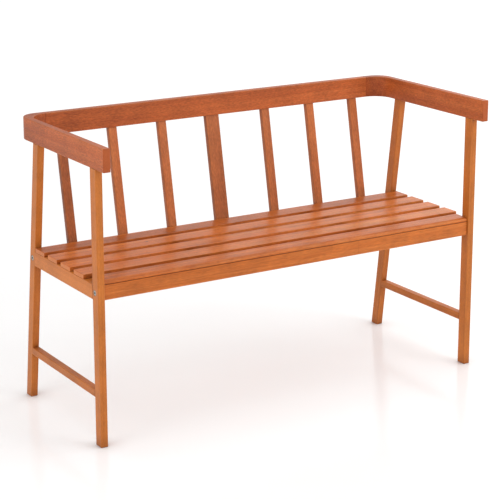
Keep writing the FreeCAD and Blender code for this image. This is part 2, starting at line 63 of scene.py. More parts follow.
X_AXIS = Vector((1.0, 0.0, 0.0))
Y_AXIS = Vector((0.0, 1.0, 0.0))
Z_AXIS = Vector((0.0, 0.0, 1.0))
QUARTER_TURN = math.radians(90)
WHITE = (1.0, 1.0, 1.0, 1.0)

# The four long slats of the seat, from the rear to the front.
LONG_SLATS = tuple(f"seat_slat_{number}" for number in range(1, 5))


class Side(Enum):
    """The two ends of the bench, as someone in front of it names them."""

    LEFT = -1
    RIGHT = 1

    @property
    def word(self) -> str:
        """Name of the side in node names."""
        return self.name.lower()


class Leg(Enum):
    """The two legs at one end of the bench, by their names without the side."""

    FRONT = "front_leg"
    REAR = "rear_leg"


class End(Enum):
    """How the end of a board is worked."""

    BUTT = "butt"
    SEAM = "seam"
    EASED = "eased"


class Coordinates(Enum):
    """Where a finish reads the place of a point in the wood."""

    GRAIN = "grain"
    OBJECT = "object"


class Mark(Enum):
    """What a board's mesh tells its finish, by the names of the mesh's attributes."""

    GRAIN = "grain"
    # Tone of the piece, with the painted light and shade that grows along it.
    TONE = "tone"
    # Painted shade on the long sides of a board.
    FLANK = "flank"
    END = "end"
    EASED = "eased"


def rgba(colour: Colour) -> tuple[float, float, float, float]:
    """Colour with a full alpha."""
    return (*colour, 1.0)


@dataclass
class Graph:
    """Shader node tree with short ways to add nodes and join them.

    Attributes:
        tree: tree that the nodes are added to.
    """

    tree: bpy.types.NodeTree

    NOISE_ROUGHNESS: ClassVar[float] = 0.55
    AIR_SAMPLES: ClassVar[int] = 16
    # Reach of the painted shade in gaps between pieces.
    GAP_REACH: ClassVar[float] = 0.06

    # Numbers of a mix node's sockets for colours, which share their names with others.
    MIX_SHARE: ClassVar[int] = 0
    MIX_FIRST: ClassVar[int] = 6
    MIX_SECOND: ClassVar[int] = 7
    MIX_RESULT: ClassVar[int] = 2

    @classmethod
    def of(cls, owner: bpy.types.Material | bpy.types.World) -> "Graph":
        """Start an empty node tree.

        Args:
            owner: material or world that the tree belongs to.

        Returns:
            The graph of that tree.
        """
        owner.use_nodes = True
        owner.node_tree.nodes.clear()
        return cls(owner.node_tree)

    def feed(self, socket: Socket, value: Feed) -> None:
        """Link a socket to another one, or set its value.

        Args:
            socket: input to feed.
            value: output socket to link, or a plain value.
        """
        if isinstance(value, Socket):
            self.tree.links.new(value, socket)
        else:
            socket.default_value = value

    def add(self, kind: str, sockets: Sockets | None = None, **settings: Any) -> bpy.types.Node:
        """Add a node.

        Args:
            kind: type of the node.
            sockets: what its inputs are fed with, by name or number.
            **settings: the node's own properties.

        Returns:
            The new node.
        """
        node = self.tree.nodes.new(kind)
        for name, value in settings.items():
            setattr(node, name, value)
        for key, value in (sockets or {}).items():
            self.feed(node.inputs[key], value)
        return node

    def math(self, operation: str, first: Feed, second: Feed = 0.0, third: Feed = 0.0) -> Socket:
        """Result of a scalar operation on up to three numbers."""
        sockets = {0: first, 1: second, 2: third}
        return self.add("ShaderNodeMath", sockets, operation=operation).outputs[0]

    def vector(self, operation: str, first: Feed, second: Feed) -> Socket:
        """Result of an operation on two vectors."""
        return self.add("ShaderNodeVectorMath", {0: first, 1: second}, operation=operation).outputs[0]

    def scaled(self, colour: Feed, level: Feed) -> Socket:
        """Colour times a number."""
        return self.add("ShaderNodeVectorMath", {0: colour, "Scale": level}, operation="SCALE").outputs[0]

    def length(self, vector: Feed) -> Socket:
        """Length of a vector."""
        return self.add("ShaderNodeVectorMath", {0: vector}, operation="LENGTH").outputs["Value"]

    def rightward(self, vector: Feed) -> Socket:
        """Part of a vector that points along the bench, to the right."""
        return self.add("ShaderNodeSeparateXYZ", {0: vector}).outputs["X"]

    def object_place(self) -> Socket:
        """Place of a point in the frame of its object."""
        return self.add("ShaderNodeTexCoord").outputs["Object"]

    def attribute(self, mark: Mark, output: str = "Fac") -> Socket:
        """Value that the mesh carries."""
        return self.add("ShaderNodeAttribute", attribute_name=mark.value).outputs[output]

    def remap(self, value: Feed, source: Span, target: Span = (0.0, 1.0)) -> Socket:
        """Value moved from one range to another and kept inside it.

        Args:
            value: number to move.
            source: range that it comes from.
            target: range that it goes to.

        Returns:
            The output socket.
        """
        sockets = {"Value": value, "From Min": source[0], "From Max": source[1]}
        sockets |= {"To Min": target[0], "To Max": target[1]}
        return self.add("ShaderNodeMapRange", sockets).outputs["Result"]

    def noise(self, place: Feed, rates: Place, detail: float, output: str = "Fac") -> Socket:
        """Noise with its own number of waves to the metre along each axis.

        Args:
            place: coordinates to read it at.
            rates: waves to the metre along the three axes.
            detail: octaves of finer noise.
            output: name of the output to take.

        Returns:
            The output socket.
        """
        sockets = {"Vector": self.vector("MULTIPLY", place, rates), "Scale": 1.0}
        sockets |= {"Detail": detail, "Roughness": self.NOISE_ROUGHNESS}
        return self.add("ShaderNodeTexNoise", sockets).outputs[output]

    def mix(self, share: Feed, first: Feed, second: Feed) -> Socket:
        """Blend of two colours.

        Args:
            share: how much of the second colour there is.
            first: colour at a share of 0.
            second: colour at a share of 1.

        Returns:
            The output socket.
        """
        sockets = {self.MIX_SHARE: share, self.MIX_FIRST: first, self.MIX_SECOND: second}
        return self.add("ShaderNodeMix", sockets, data_type="RGBA").outputs[self.MIX_RESULT]

    def ramp(self, value: Socket, stops: list[tuple[float, Colour]]) -> Socket:
        """Colour at a value between given stops.

        Args:
            value: number from 0 to 1.
            stops: places of the colours, in rising order.

        Returns:
            The output socket.
        """
        node = self.add("ShaderNodeValToRGB", {0: value})
        elements = node.color_ramp.elements
        while len(elements) < len(stops):
            elements.new(0.5)
        for element, (place, colour) in zip(elements, stops):
            element.position = place
            element.color = rgba(colour)
        return node.outputs["Color"]

    def open_air(self, reach: float) -> Socket:
        """Share of the surroundings, within a reach, that no face blocks."""
        node = self.add("ShaderNodeAmbientOcclusion", {"Distance": reach}, samples=self.AIR_SAMPLES)
        return node.outputs["AO"]

    def dark_in_gaps(self, colour: Socket, room: Span, darkest: float) -> Socket:
        """Colour with painted shade where other faces stand close.

        Args:
            colour: colour in the open.
            room: shares of open air between which the colour comes up.
            darkest: level of the colour in the deepest gap.

        Returns:
            The output socket.
        """
        level = self.remap(self.open_air(self.GAP_REACH), room, (darkest, 1.0))
        return self.scaled(colour, level)

    def seen_directly(self) -> Socket:
        """1 for what the eye sees straight, in a reflection or through glass, and 0 for light on surfaces.

        Returns:
            The output socket.
        """
        path = self.add("ShaderNodeLightPath").outputs
        shiny = self.math("MAXIMUM", path["Is Glossy Ray"], path["Is Transmission Ray"])
        return self.math("MAXIMUM", path["Is Camera Ray"], shiny)

    def relief(self, height: Socket, strength: float, depth: float) -> Socket:
        """Normal of a surface with a fine relief.

        Args:
            height: height of the relief, in depths.
            strength: how much of it shows.
            depth: depth of the relief.

        Returns:
            The output socket.
        """
        sockets = {"Strength": strength, "Distance": depth, "Height": height}
        return self.add("ShaderNodeBump", sockets).outputs["Normal"]

    def close(self, shader: Socket) -> None:
        """End a material's tree with its surface shader."""
        self.add("ShaderNodeOutputMaterial", {"Surface": shader})


@dataclass(frozen=True)
class Waves:
    """Noise in wood, drawn out along the grain.

    Attributes:
        along: waves to the metre along the grain.
        across: waves to the metre across it.
        detail: octaves of finer noise.
    """

    along: float
    across: float
    detail: float

    def noise(self, graph: Graph, place: Socket, output: str = "Fac") -> Socket:
        """Noise at a place in the wood."""
        return graph.noise(place, (self.along, self.across, self.across), self.detail, output)


@dataclass(frozen=True)
class Knot:
    """Small dark knot in a face of a board.

    Attributes:
        place: middle of the knot in the bench's frame.
        radius: size of the knot.
        colour: colour of its heart.
        squeeze: how much a distance from the middle counts along each axis.
        heart: share of the radius within which the colour is full.
        halo: reach of the darker ring, in radii.
        halo_share: strength of that ring.
    """

    place: Place
    radius: float = 0.0035
    colour: Colour = (0.150, 0.060, 0.050)
    squeeze: Place = (0.55, 1.0, 0.4)
    heart: float = 0.45
    halo: float = 3.2
    halo_share: float = 0.35

    def over(self, graph: Graph, colour: Socket, dark: Colour) -> Socket:
        """Colour of the wood with the knot and the darker ring round it.

        Args:
            graph: tree to add to.
            colour: colour of the plain wood.
            dark: colour of its dark streaks.

        Returns:
            The output socket.
        """
        apart = graph.vector("SUBTRACT", graph.object_place(), self.place)
        distance = graph.length(graph.vector("MULTIPLY", apart, self.squeeze))
        heart = graph.remap(distance, (self.radius, self.heart * self.radius))
        halo = graph.remap(distance, (self.halo * self.radius, self.radius), (0.0, self.halo_share))
        ringed = graph.mix(halo, colour, rgba(dark))
        return graph.mix(heart, ringed, rgba(self.colour))


@dataclass(frozen=True)
class GluedJoint:
    """Thin line where two lengths of a board are glued end to end.

    Attributes:
        x: place of the line along the bench.
        fade: distances from there at which the line ends and at which it is full.
        share: strength of the line.
    """

    x: float
    fade: Span = (0.0016, 0.0007)
    share: float = 0.45

    def over(self, graph: Graph, colour: Socket, dark: Colour) -> Socket:
        """Colour of the wood with the line of the joint.

        Args:
            graph: tree to add to.
            colour: colour of the plain wood.
            dark: colour of its dark streaks.

        Returns:
            The output socket.
        """
        apart = graph.math("SUBTRACT", graph.rightward(graph.object_place()), self.x)
        line = graph.remap(graph.math("ABSOLUTE", apart), self.fade, (0.0, self.share))
        return graph.mix(line, colour, rgba(dark))


@dataclass(frozen=True)
class OiledWood:
    """Hardwood with a satin oil finish, figured along its own grain.

    The fields set one finish apart from another. What all of them share is in the constants.

    Attributes:
        name: name of the finish and of its material.
        deep: colour of the dark streaks.
        middle: main colour.
        pale: colour of the light streaks.
        edge: colour of the rubbed edges.
        end: colour of the end grain.
        streak: width of the main streaks.
        wander: how far the streaks leave a straight line.
        contrast: strength of the main streaks.
        flecks: strength of the short flecks along the grain.
        fleck_rate: flecks to the metre along the grain.
        roughness: range of the surface's roughness.
        shine: level of the oil's reflection.
        depth: depth of the grain that can be felt.
        coordinates: where the place in the wood is read.
        knot: a knot, if the wood shows one.
        joint: a glued joint, if the wood shows one.
    """

    name: str
    deep: Colour
    middle: Colour
    pale: Colour
    edge: Colour
    end: Colour
    streak: float = 0.010
    wander: float = 0.005
    contrast: float = 1.0
    flecks: float = 1.10
    fleck_rate: float = 125.0
    roughness: Span = (0.36, 0.50)
    shine: float = 0.25
    depth: float = 0.00025
    coordinates: Coordinates = Coordinates.GRAIN
    knot: Knot | None = None
    joint: GluedJoint | None = None

    # Slow wander of the grain: noise about its middle value pushes the streaks sideways.
    DRIFT: ClassVar[Waves] = Waves(1.6, 11.0, 1.0)
    DRIFT_MIDDLE: ClassVar[Place] = (0.5, 0.5, 0.5)
    DRIFT_REACH: ClassVar[float] = 4.0

    # Long streaks, with the fine lines between them.
    STREAK_RATE: ClassVar[float] = 0.9
    STREAK_DETAIL: ClassVar[float] = 4.0
    STREAK_HALF_RANGE: ClassVar[float] = 0.34
    FINE: ClassVar[Waves] = Waves(7.0, 620.0, 2.0)
    FINE_SHARE: ClassVar[float] = 0.3
    TONE_IN_HUE: ClassVar[float] = 0.8

    # Slow bands and ribbons of light and dark, and the flecks on them.
    BANDS: ClassVar[Waves] = Waves(0.8, 17.0, 1.0)
    BAND_SHARE: ClassVar[float] = 0.45
    RIBBON: ClassVar[Waves] = Waves(13.0, 16.0, 2.0)
    RIBBON_SHARE: ClassVar[float] = 0.55
    FLECKS_ACROSS: ClassVar[float] = 380.0
    FLECK_DETAIL: ClassVar[float] = 2.0
    TONE_IN_LEVEL: ClassVar[float] = 0.7

    # Open pores, which are dark, rough and sunk.
    PORES: ClassVar[Waves] = Waves(42.0, 1500.0, 1.0)
    PORE_RANGE: ClassVar[Span] = (0.60, 0.74)
    PORE_SHARE: ClassVar[float] = 0.35
    PORE_ROUGHNESS: ClassVar[float] = 0.25
    ROUGH_RANGE: ClassVar[Span] = (0.30, 0.85)
    RELIEF_STRENGTH: ClassVar[float] = 0.35

    # Rubbed edges, painted shade in tight joints and seams, sawn ends, and painted shade in gaps between
    # pieces.
    RUBBING: ClassVar[Waves] = Waves(24.0, 40.0, 2.0)
    RUB_RANGE: ClassVar[Span] = (0.35, 0.65)
    RUB_SHARE: ClassVar[Span] = (0.02, 0.25)
    JOINT_TINT: ClassVar[Colour] = (0.85, 0.45, 0.20)
    JOINT_SHARE: ClassVar[float] = 0.80
    RINGS: ClassVar[Waves] = Waves(1.0, 420.0, 3.0)
    END_SHARE: ClassVar[float] = 0.75
    GAP_ROOM: ClassVar[Span] = (0.20, 0.85)
    GAP_LEVEL: ClassVar[float] = 0.48

    def place(self, graph: Graph) -> Socket:
        """Place of a point in the wood: along the grain, across it and through the board.

        Args:
            graph: tree to add to.

        Returns:
            The output socket.
        """
        if self.coordinates is Coordinates.GRAIN:
            return graph.attribute(Mark.GRAIN, "Vector")
        return graph.object_place()

    def along_grain(self, graph: Graph, place: Socket) -> Socket:
        """Place in the wood with the slow wander of the grain.

        Args:
            graph: tree to add to.
            place: place in the wood.

        Returns:
            The output socket.
        """
        drift = self.DRIFT.noise(graph, place, "Color")
        centred = graph.vector("SUBTRACT", drift, self.DRIFT_MIDDLE)
        reach = self.DRIFT_REACH * self.wander
        sideways = graph.vector("MULTIPLY", centred, (0.0, reach, reach))
        return graph.vector("ADD", place, sideways)

    def streaks(self, graph: Graph, grain: Socket, fine: Socket, tone: Socket) -> Socket:
        """Colour of the long streaks.

        Args:
            graph: tree to add to.
            grain: place along the grain.
            fine: fine lines of the grain.
            tone: how much lighter the piece is, with its painted light and shade.

        Returns:
            The output socket.
        """
        waves = Waves(self.STREAK_RATE, 1 / self.streak, self.STREAK_DETAIL)
        fine_part = graph.math("MULTIPLY", fine, self.FINE_SHARE)
        blended = graph.math("MULTIPLY_ADD", waves.noise(graph, grain), 1.0 - self.FINE_SHARE, fine_part)
        half = self.STREAK_HALF_RANGE / self.contrast
        spread = graph.remap(blended, (0.5 - half, 0.5 + half))
        hue = graph.math("MULTIPLY_ADD", tone, self.TONE_IN_HUE, spread)
        return graph.ramp(hue, [(0.0, self.deep), (0.5, self.middle), (1.0, self.pale)])

    def level(self, graph: Graph, place: Socket, grain: Socket, tone: Socket) -> Socket:
        """Level of light and dark: slow bands and ribbons, flecks, and the tones of the piece.

        Args:
            graph: tree to add to.
            place: place in the wood.
            grain: the same with the wander of the grain.
            tone: how much lighter the piece is, with its painted light and shade.

        Returns:
            The output socket.
        """
        ribbon = graph.math("MULTIPLY", self.RIBBON.noise(graph, place), self.RIBBON_SHARE)
        slow = graph.math("MULTIPLY_ADD", self.BANDS.noise(graph, grain), self.BAND_SHARE, ribbon)
        flecks = Waves(self.fleck_rate, self.FLECKS_ACROSS, self.FLECK_DETAIL).noise(graph, grain)
        shade = graph.math("MULTIPLY_ADD", flecks, self.flecks, slow)
        mean_shade = (self.BAND_SHARE + self.RIBBON_SHARE + self.flecks) / 2
        level = graph.math("ADD", shade, 1.0 - mean_shade)
        level = graph.math("MULTIPLY_ADD", tone, self.TONE_IN_LEVEL, level)
        # Painted shade on the long sides of a board.
        return graph.math("ADD", level, graph.attribute(Mark.FLANK))

    def worked(self, graph: Graph, colour: Socket, grain: Socket) -> Socket:
        """Colour with rubbed edges and end grain, painted shade in joints, seams and gaps, and a darker
        line round eased ends.

        Args:
            graph: tree to add to.
            colour: colour of the long face.
            grain: place along the grain.

        Returns:
            The output socket.
        """
        eased = graph.attribute(Mark.EASED)
        rubbing = graph.remap(self.RUBBING.noise(graph, grain), self.RUB_RANGE, self.RUB_SHARE)
        rubbed = graph.math("MULTIPLY", graph.math("MAXIMUM", eased, 0.0), rubbing)
        colour = graph.mix(rubbed, colour, rgba(self.edge))
        # Painted shade on faces in a tight joint or seam, and a darker line round eased ends.
        joint_shade_and_end_dark = graph.remap(eased, (0.0, Board.JOINT_MARK), (0.0, self.JOINT_SHARE))
        joint_shade_and_end_colour = tuple(part * share for part, share in zip(self.deep, self.JOINT_TINT))
        colour = graph.mix(joint_shade_and_end_dark, colour, rgba(joint_shade_and_end_colour))
        cut_end = graph.mix(self.RINGS.noise(graph, grain), rgba(self.deep), rgba(self.end))
        sawn = graph.math("MULTIPLY", graph.attribute(Mark.END), self.END_SHARE)
        colour = graph.mix(sawn, colour, cut_end)
        # Painted shade where other faces stand close.
        return graph.dark_in_gaps(colour, self.GAP_ROOM, self.GAP_LEVEL)

    def material(self) -> bpy.types.Material:
        """Make the node material of this finish.

        Returns:
            The new material.
        """
        material = bpy.data.materials.new(self.name)
        graph = Graph.of(material)
        place = self.place(graph)
        grain = self.along_grain(graph, place)
        # Tone of the piece, with the painted light and shade along it.
        tone = graph.attribute(Mark.TONE)
        fine = self.FINE.noise(graph, grain)
        pores = graph.remap(self.PORES.noise(graph, grain), self.PORE_RANGE)
        colour = self.streaks(graph, grain, fine, tone)
        colour = graph.scaled(colour, self.level(graph, place, grain, tone))
        colour = graph.mix(graph.math("MULTIPLY", pores, self.PORE_SHARE), colour, rgba(self.deep))
        for feature in (self.knot, self.joint):
            if feature is not None:
                colour = feature.over(graph, colour, self.deep)
        rough = graph.math("MULTIPLY_ADD", pores, self.PORE_ROUGHNESS, fine)
        height = graph.math("SUBTRACT", fine, pores)
        sockets = {
            "Base Color": self.worked(graph, colour, grain),
            "Roughness": graph.remap(rough, self.ROUGH_RANGE, self.roughness),
            "Normal": graph.relief(height, self.RELIEF_STRENGTH, self.depth),
            "Specular IOR Level": self.shine,
        }
        graph.close(graph.add("ShaderNodeBsdfPrincipled", sockets).outputs["BSDF"])
        return material


@dataclass(frozen=True)
class PlatedSteel:
    """Zinc-plated steel, dull and slightly mottled, with painted shade in gaps and sockets.

    Attributes:
        name: name of the finish and of its material.
        dull: colour of the dull patches.
        bright: colour of the bright patches.
        roughness: range of the surface's roughness.
        scratch_depth: depth of the fine scratches.
    """

    name: str
    dull: Colour
    bright: Colour
    roughness: Span = (0.32, 0.52)
    scratch_depth: float = 0.0001

    MOTTLE_RATES: ClassVar[Place] = (240.0, 240.0, 240.0)
    MOTTLE_DETAIL: ClassVar[float] = 3.0
    MOTTLE_RANGE: ClassVar[Span] = (0.35, 0.65)
    SCRATCH_RATES: ClassVar[Place] = (900.0, 2600.0, 900.0)
    SCRATCH_DETAIL: ClassVar[float] = 2.0
    SCRATCH_ROUGHNESS: ClassVar[float] = 0.5
    SCRATCH_STRENGTH: ClassVar[float] = 0.2
    ROUGH_RANGE: ClassVar[Span] = (0.4, 1.0)
    GAP_ROOM: ClassVar[Span] = (0.45, 0.85)
    GAP_LEVEL: ClassVar[float] = 0.05

    def material(self) -> bpy.types.Material:
        """Make the node material of this finish.

        Returns:
            The new material.
        """
        material = bpy.data.materials.new(self.name)
        graph = Graph.of(material)
        place = graph.object_place()
        mottle = graph.noise(place, self.MOTTLE_RATES, self.MOTTLE_DETAIL)
        scratches = graph.noise(place, self.SCRATCH_RATES, self.SCRATCH_DETAIL)
        colour = graph.mix(graph.remap(mottle, self.MOTTLE_RANGE), rgba(self.dull), rgba(self.bright))
        rough = graph.math("MULTIPLY_ADD", scratches, self.SCRATCH_ROUGHNESS, mottle)
        sockets = {
            # Painted shade in gaps and in the sockets of the heads.
            "Base Color": graph.dark_in_gaps(colour, self.GAP_ROOM, self.GAP_LEVEL),
            "Roughness": graph.remap(rough, self.ROUGH_RANGE, self.roughness),
            "Normal": graph.relief(scratches, self.SCRATCH_STRENGTH, self.scratch_depth),
            "Metallic": 1.0,
        }
        graph.close(graph.add("ShaderNodeBsdfPrincipled", sockets).outputs["BSDF"])
        return material


@dataclass(frozen=True)
class WhiteFloor:
    """Smooth white floor with a faint reflection, its lit shadow, and a painted shadow under the bench and
    round its feet.

    Attributes:
        name: name of the finish and of its material.
        colour: colour of the floor.
        pale: colour of its lighter patches.
        patch_rates: patches to the metre along the three axes.
        patch_detail: octaves of finer patches.
        lift: light that the floor shows to the eye and in reflections, in the middle of the painted shadow
            and far from it.
        spot: middle of the painted shadow under the bench.
        reach: distances from there between which that light grows and the painted shadow fades.
        contact: how far from a foot the painted contact shadow reaches.
        air: shares of open air between which that light comes up out of the painted contact shadow.
        gloss: share of mirror-like reflection.
        gloss_roughness: blur of that reflection.
    """

    name: str = "white_floor"
    colour: Colour = (0.90, 0.90, 0.90)
    pale: Colour = (0.92, 0.92, 0.92)
    patch_rates: Place = (3.0, 3.0, 3.0)
    patch_detail: float = 2.0
    lift: Span = (0.155, 0.36)
    spot: Place = (0.5, -0.1, 0.0)
    reach: Span = (0.2, 5.0)
    contact: float = 0.06
    air: Span = (0.5, 1.0)
    gloss: float = 0.12
    gloss_roughness: float = 0.16

    def surface(self, graph: Graph, place: Socket) -> Socket:
        """Shader of the floor without the light that it shows of its own.

        Args:
            graph: tree to add to.
            place: place on the floor.

        Returns:
            The output socket.
        """
        patches = graph.noise(place, self.patch_rates, self.patch_detail)
        tint = graph.mix(patches, rgba(self.colour), rgba(self.pale))
        diffuse = graph.add("ShaderNodeBsdfDiffuse", {"Color": tint}).outputs[0]
        mirror = {"Color": WHITE, "Roughness": self.gloss_roughness}
        glossy = graph.add("ShaderNodeBsdfGlossy", mirror).outputs[0]
        return graph.add("ShaderNodeMixShader", {0: self.gloss, 1: diffuse, 2: glossy}).outputs[0]

    def material(self) -> bpy.types.Material:
        """Make the node material of this finish.

        Returns:
            The new material.
        """
        material = bpy.data.materials.new(self.name)
        graph = Graph.of(material)
        place = graph.object_place()
        # Painted shadow: the glow is lower near the middle of the bench and where a foot stands close.
        distance = graph.length(graph.vector("SUBTRACT", place, self.spot))
        clear = graph.remap(graph.open_air(self.contact), self.air)
        light = graph.math("MULTIPLY", clear, graph.remap(distance, self.reach, self.lift))
        strength = graph.math("MULTIPLY", graph.seen_directly(), light)
        glow = graph.add("ShaderNodeEmission", {"Strength": strength}).outputs[0]
        shaders = {0: self.surface(graph, place), 1: glow}
        graph.close(graph.add("ShaderNodeAddShader", shaders).outputs[0])
        return material


@dataclass(frozen=True)
class Bore:
    """Round hole in a board.

    Attributes:
        mouth: middle of the hole at the surface.
        inward: direction into the board.
        radius: radius of the hole.
        depth: depth below the surface.
    """

    mouth: Vector
    inward: Vector
    radius: float
    depth: float

    MARGIN: ClassVar[float] = 0.002
    SEGMENTS: ClassVar[int] = 40

    def cut(self, cutter: bmesh.types.BMesh) -> None:
        """Add the cylinder of this hole to a cutter mesh.

        Args:
            cutter: mesh to add to.
        """
        centre = self.mouth + self.inward * (self.depth - self.MARGIN) / 2
        turn = self.inward.to_track_quat("Z", "Y").to_matrix().to_4x4()
        bmesh.ops.create_cone(
            cutter,
            cap_ends=True,
            segments=self.SEGMENTS,
            radius1=self.radius,
            radius2=self.radius,
            depth=self.depth + self.MARGIN,
            matrix=Matrix.Translation(centre) @ turn,
        )


@dataclass
class Board:
    """One timber, as a bar through a run of four-cornered sections.

    Attributes:
        node: CAD node that the board stands for.
        sections: corners of the bar at each station along it.
        along: direction of the grain.
        across: direction over the board's face.
        rounding: radius of the long edges.
        ends: how the first and the last end are worked.
        noses: long edges with a radius of their own, by corner.
        joint_edges: long edges that lie in a tight joint and carry painted shade, by corner, with their
            bevels.
        bores: holes that show.
        tone: how much lighter than its finish the piece is.
        far_tone: painted light that grows towards the far end of its grain, and painted shade where it is
            below 0.
        flank_tone: how much lighter its long sides are; below 0 it is painted shade on them.
        flank_fade: share of that painted shade which is lost towards the far end.
    """

    node: str
    sections: list[Section]
    along: Vector
    across: Vector
    rounding: float = 0.002
    ends: tuple[End, End] = (End.BUTT, End.BUTT)
    noses: dict[int, float] = field(default_factory=dict)
    joint_edges: dict[int, float] = field(default_factory=dict)
    bores: list[Bore] = field(default_factory=list)
    tone: float = 0.0
    far_tone: float = 0.0
    flank_tone: float = 0.0
    flank_fade: float = 0.0

    CORNERS: ClassVar[int] = 4
    BEVEL_STEPS: ClassVar[int] = 3
    NOSE_STEPS: ClassVar[int] = 6
    SEAM_BEVEL: ClassVar[float] = 0.0005
    SHARP_ANGLE: ClassVar[float] = math.radians(50)

    # How eased a face counts: 1 is rubbed by hand, and below 0 it is dark, with painted shade in a tight
    # joint or seam and a darker line round an end.
    RUBBED_MARK: ClassVar[float] = 1.0
    JOINT_MARK: ClassVar[float] = -1.0
    SEAM_MARK: ClassVar[float] = -0.7
    END_MARK: ClassVar[float] = -0.3

    # Log that each board is cut from, at a place of its own.
    LOG_SIZE: ClassVar[Place] = (40.0, 3.0, 3.0)
    FAR_POWER: ClassVar[int] = 6

    # How square to an end or a side a face is, and how near to the end, to belong to it.
    END_SQUARE: ClassVar[float] = 0.8
    END_DEPTH: ClassVar[float] = 0.0015
    FLANK_SQUARE: ClassVar[float] = 0.5

    # Type and domain of each attribute that is stored once the board is drilled.
    LAYERS: ClassVar[dict[Mark, tuple[str, str]]] = {
        Mark.GRAIN: ("FLOAT_VECTOR", "POINT"),
        Mark.TONE: ("FLOAT", "POINT"),
        Mark.END: ("FLOAT", "FACE"),
        Mark.FLANK: ("FLOAT", "CORNER"),
    }

    def caps(self) -> list[tuple[Section, Vector]]:
        """First and last section, each with the direction out of the board there."""
        pairs = ((self.sections[0], self.sections[1]), (self.sections[-1], self.sections[-2]))
        return [(cap, (sum(cap, Vector()) - sum(inner, Vector())).normalized()) for cap, inner in pairs]

    def bar(self, shell: bmesh.types.BMesh) -> list[list[bmesh.types.BMVert]]:
        """Add the bar with sharp edges to a mesh.

        Args:
            shell: mesh to add to.

        Returns:
            The corners of each section.
        """
        rings = [[shell.verts.new(corner) for corner in section] for section in self.sections]
        for ring, following in zip(rings, rings[1:]):
            for index in range(self.CORNERS):
                after = (index + 1) % self.CORNERS
                shell.faces.new((ring[index], ring[after], following[after], following[index]))
        shell.faces.new(rings[0][::-1])
        shell.faces.new(rings[-1])
        bmesh.ops.recalc_face_normals(shell, faces=shell.faces)
        return rings

    def bevel(
        self,
        shell: bmesh.types.BMesh,
        edges: list[bmesh.types.BMEdge],
        radius: float,
        steps: int,
        mark: float,
    ) -> None:
        """Round some edges and mark the new faces.

        Args:
            shell: mesh to work on.
            edges: edges to round.
            radius: radius of the rounding.
            steps: faces across the rounding.
            mark: how eased the new faces count.
        """
        eased = shell.faces.layers.float[Mark.EASED.value]
        made = bmesh.ops.bevel(
            shell,
            geom=edges,
            offset=radius,
            offset_type="OFFSET",
            segments=steps,
            profile=0.5,
            affect="EDGES",
            clamp_overlap=True,
        )
        for face in made["faces"]:
            face[eased] = mark

    def mark_end(self, shell: bmesh.types.BMesh, outward: Vector, limit: float) -> None:
        """Mark the rounding round an end to be drawn darker.

        Args:
            shell: mesh to mark.
            outward: direction out of the end.
            limit: how far out the rounding begins.
        """
        eased = shell.faces.layers.float[Mark.EASED.value]
        for face in shell.faces:
            if face[eased] > 0.0 and face.calc_center_median().dot(outward) > limit:
                face[eased] = self.END_MARK

    def shell(self) -> bmesh.types.BMesh:
        """Make the bar with its rounded edges.

        Returns:
            The new mesh, which the caller frees.
        """
        shell = bmesh.new()
        shell.faces.layers.float.new(Mark.EASED.value)
        rings = self.bar(shell)
        runs = [
            [shell.edges.get((ring[index], following[index])) for ring, following in zip(rings, rings[1:])]
            for index in range(self.CORNERS)
        ]
        special = set(self.noses) | set(self.joint_edges)
        plain = [edge for index, run in enumerate(runs) if index not in special for edge in run]
        for ring, end in zip((rings[0], rings[-1]), self.ends):
            if end is End.EASED:
                plain += [shell.edges.get(pair) for pair in zip(ring, ring[1:] + ring[:1])]

        for index, radius in self.noses.items():
            self.bevel(shell, runs[index], radius, self.NOSE_STEPS, self.RUBBED_MARK)
        # Edges in a tight joint get a small bevel that carries painted shade.
        for index, width in self.joint_edges.items():
            self.bevel(shell, runs[index], width, 1, self.JOINT_MARK)
        self.bevel(shell, plain, self.rounding, self.BEVEL_STEPS, self.RUBBED_MARK)
        for end, (_section, outward) in zip(self.ends, self.caps()):
            cap = max(shell.faces, key=lambda face: face.calc_center_median().dot(outward))
            # A seam gets a fine bevel that carries painted shade.
            if end is End.SEAM:
                self.bevel(shell, list(cap.edges), self.SEAM_BEVEL, 1, self.SEAM_MARK)
            elif end is End.EASED:
                self.mark_end(shell, outward, cap.calc_center_median().dot(outward) - self.rounding)
        return shell

    def drill(self, piece: bpy.types.Object) -> None:
        """Cut the holes out of the finished bar.

        Args:
            piece: object of the board.
        """
        cutter = bmesh.new()
        for bore in self.bores:
            bore.cut(cutter)
        mesh = bpy.data.meshes.new("bore_cutter")
        cutter.to_mesh(mesh)
        cutter.free()
        tool = bpy.data.objects.new("bore_cutter", mesh)
        bpy.context.scene.collection.objects.link(tool)
        cut = piece.modifiers.new("bores", "BOOLEAN")
        cut.operation = "DIFFERENCE"
        cut.solver = "EXACT"
        cut.object = tool
        graph = bpy.context.evaluated_depsgraph_get()
        drilled = bpy.data.meshes.new_from_object(piece.evaluated_get(graph), depsgraph=graph)
        piece.modifiers.clear()
        piece.data = drilled
        bpy.data.objects.remove(tool)
        bpy.data.meshes.remove(mesh)

    def mark_points(self, mesh: bpy.types.Mesh) -> list[float]:
        """Store the place in the log, and the tone with its painted light and shade, at each point.

        Args:
            mesh: mesh of the board.

        Returns:
            How far along the board each point lies, from 0 to 1.
        """
        dice = random.Random(self.node)
        log_place = Vector([dice.uniform(0, size) for size in self.LOG_SIZE])
        axes = (self.along, self.across, self.along.cross(self.across))
        stations = [corner.dot(self.along) for section in self.sections for corner in section]
        near, far = min(stations), max(stations)
        grain = mesh.attributes[Mark.GRAIN.value].data
        tone = mesh.attributes[Mark.TONE.value].data
        shares = []
        for vertex in mesh.vertices:
            place = Vector([vertex.co.dot(axis) for axis in axes])
            share = (place.x - near) / (far - near)
            grain[vertex.index].vector = log_place + place
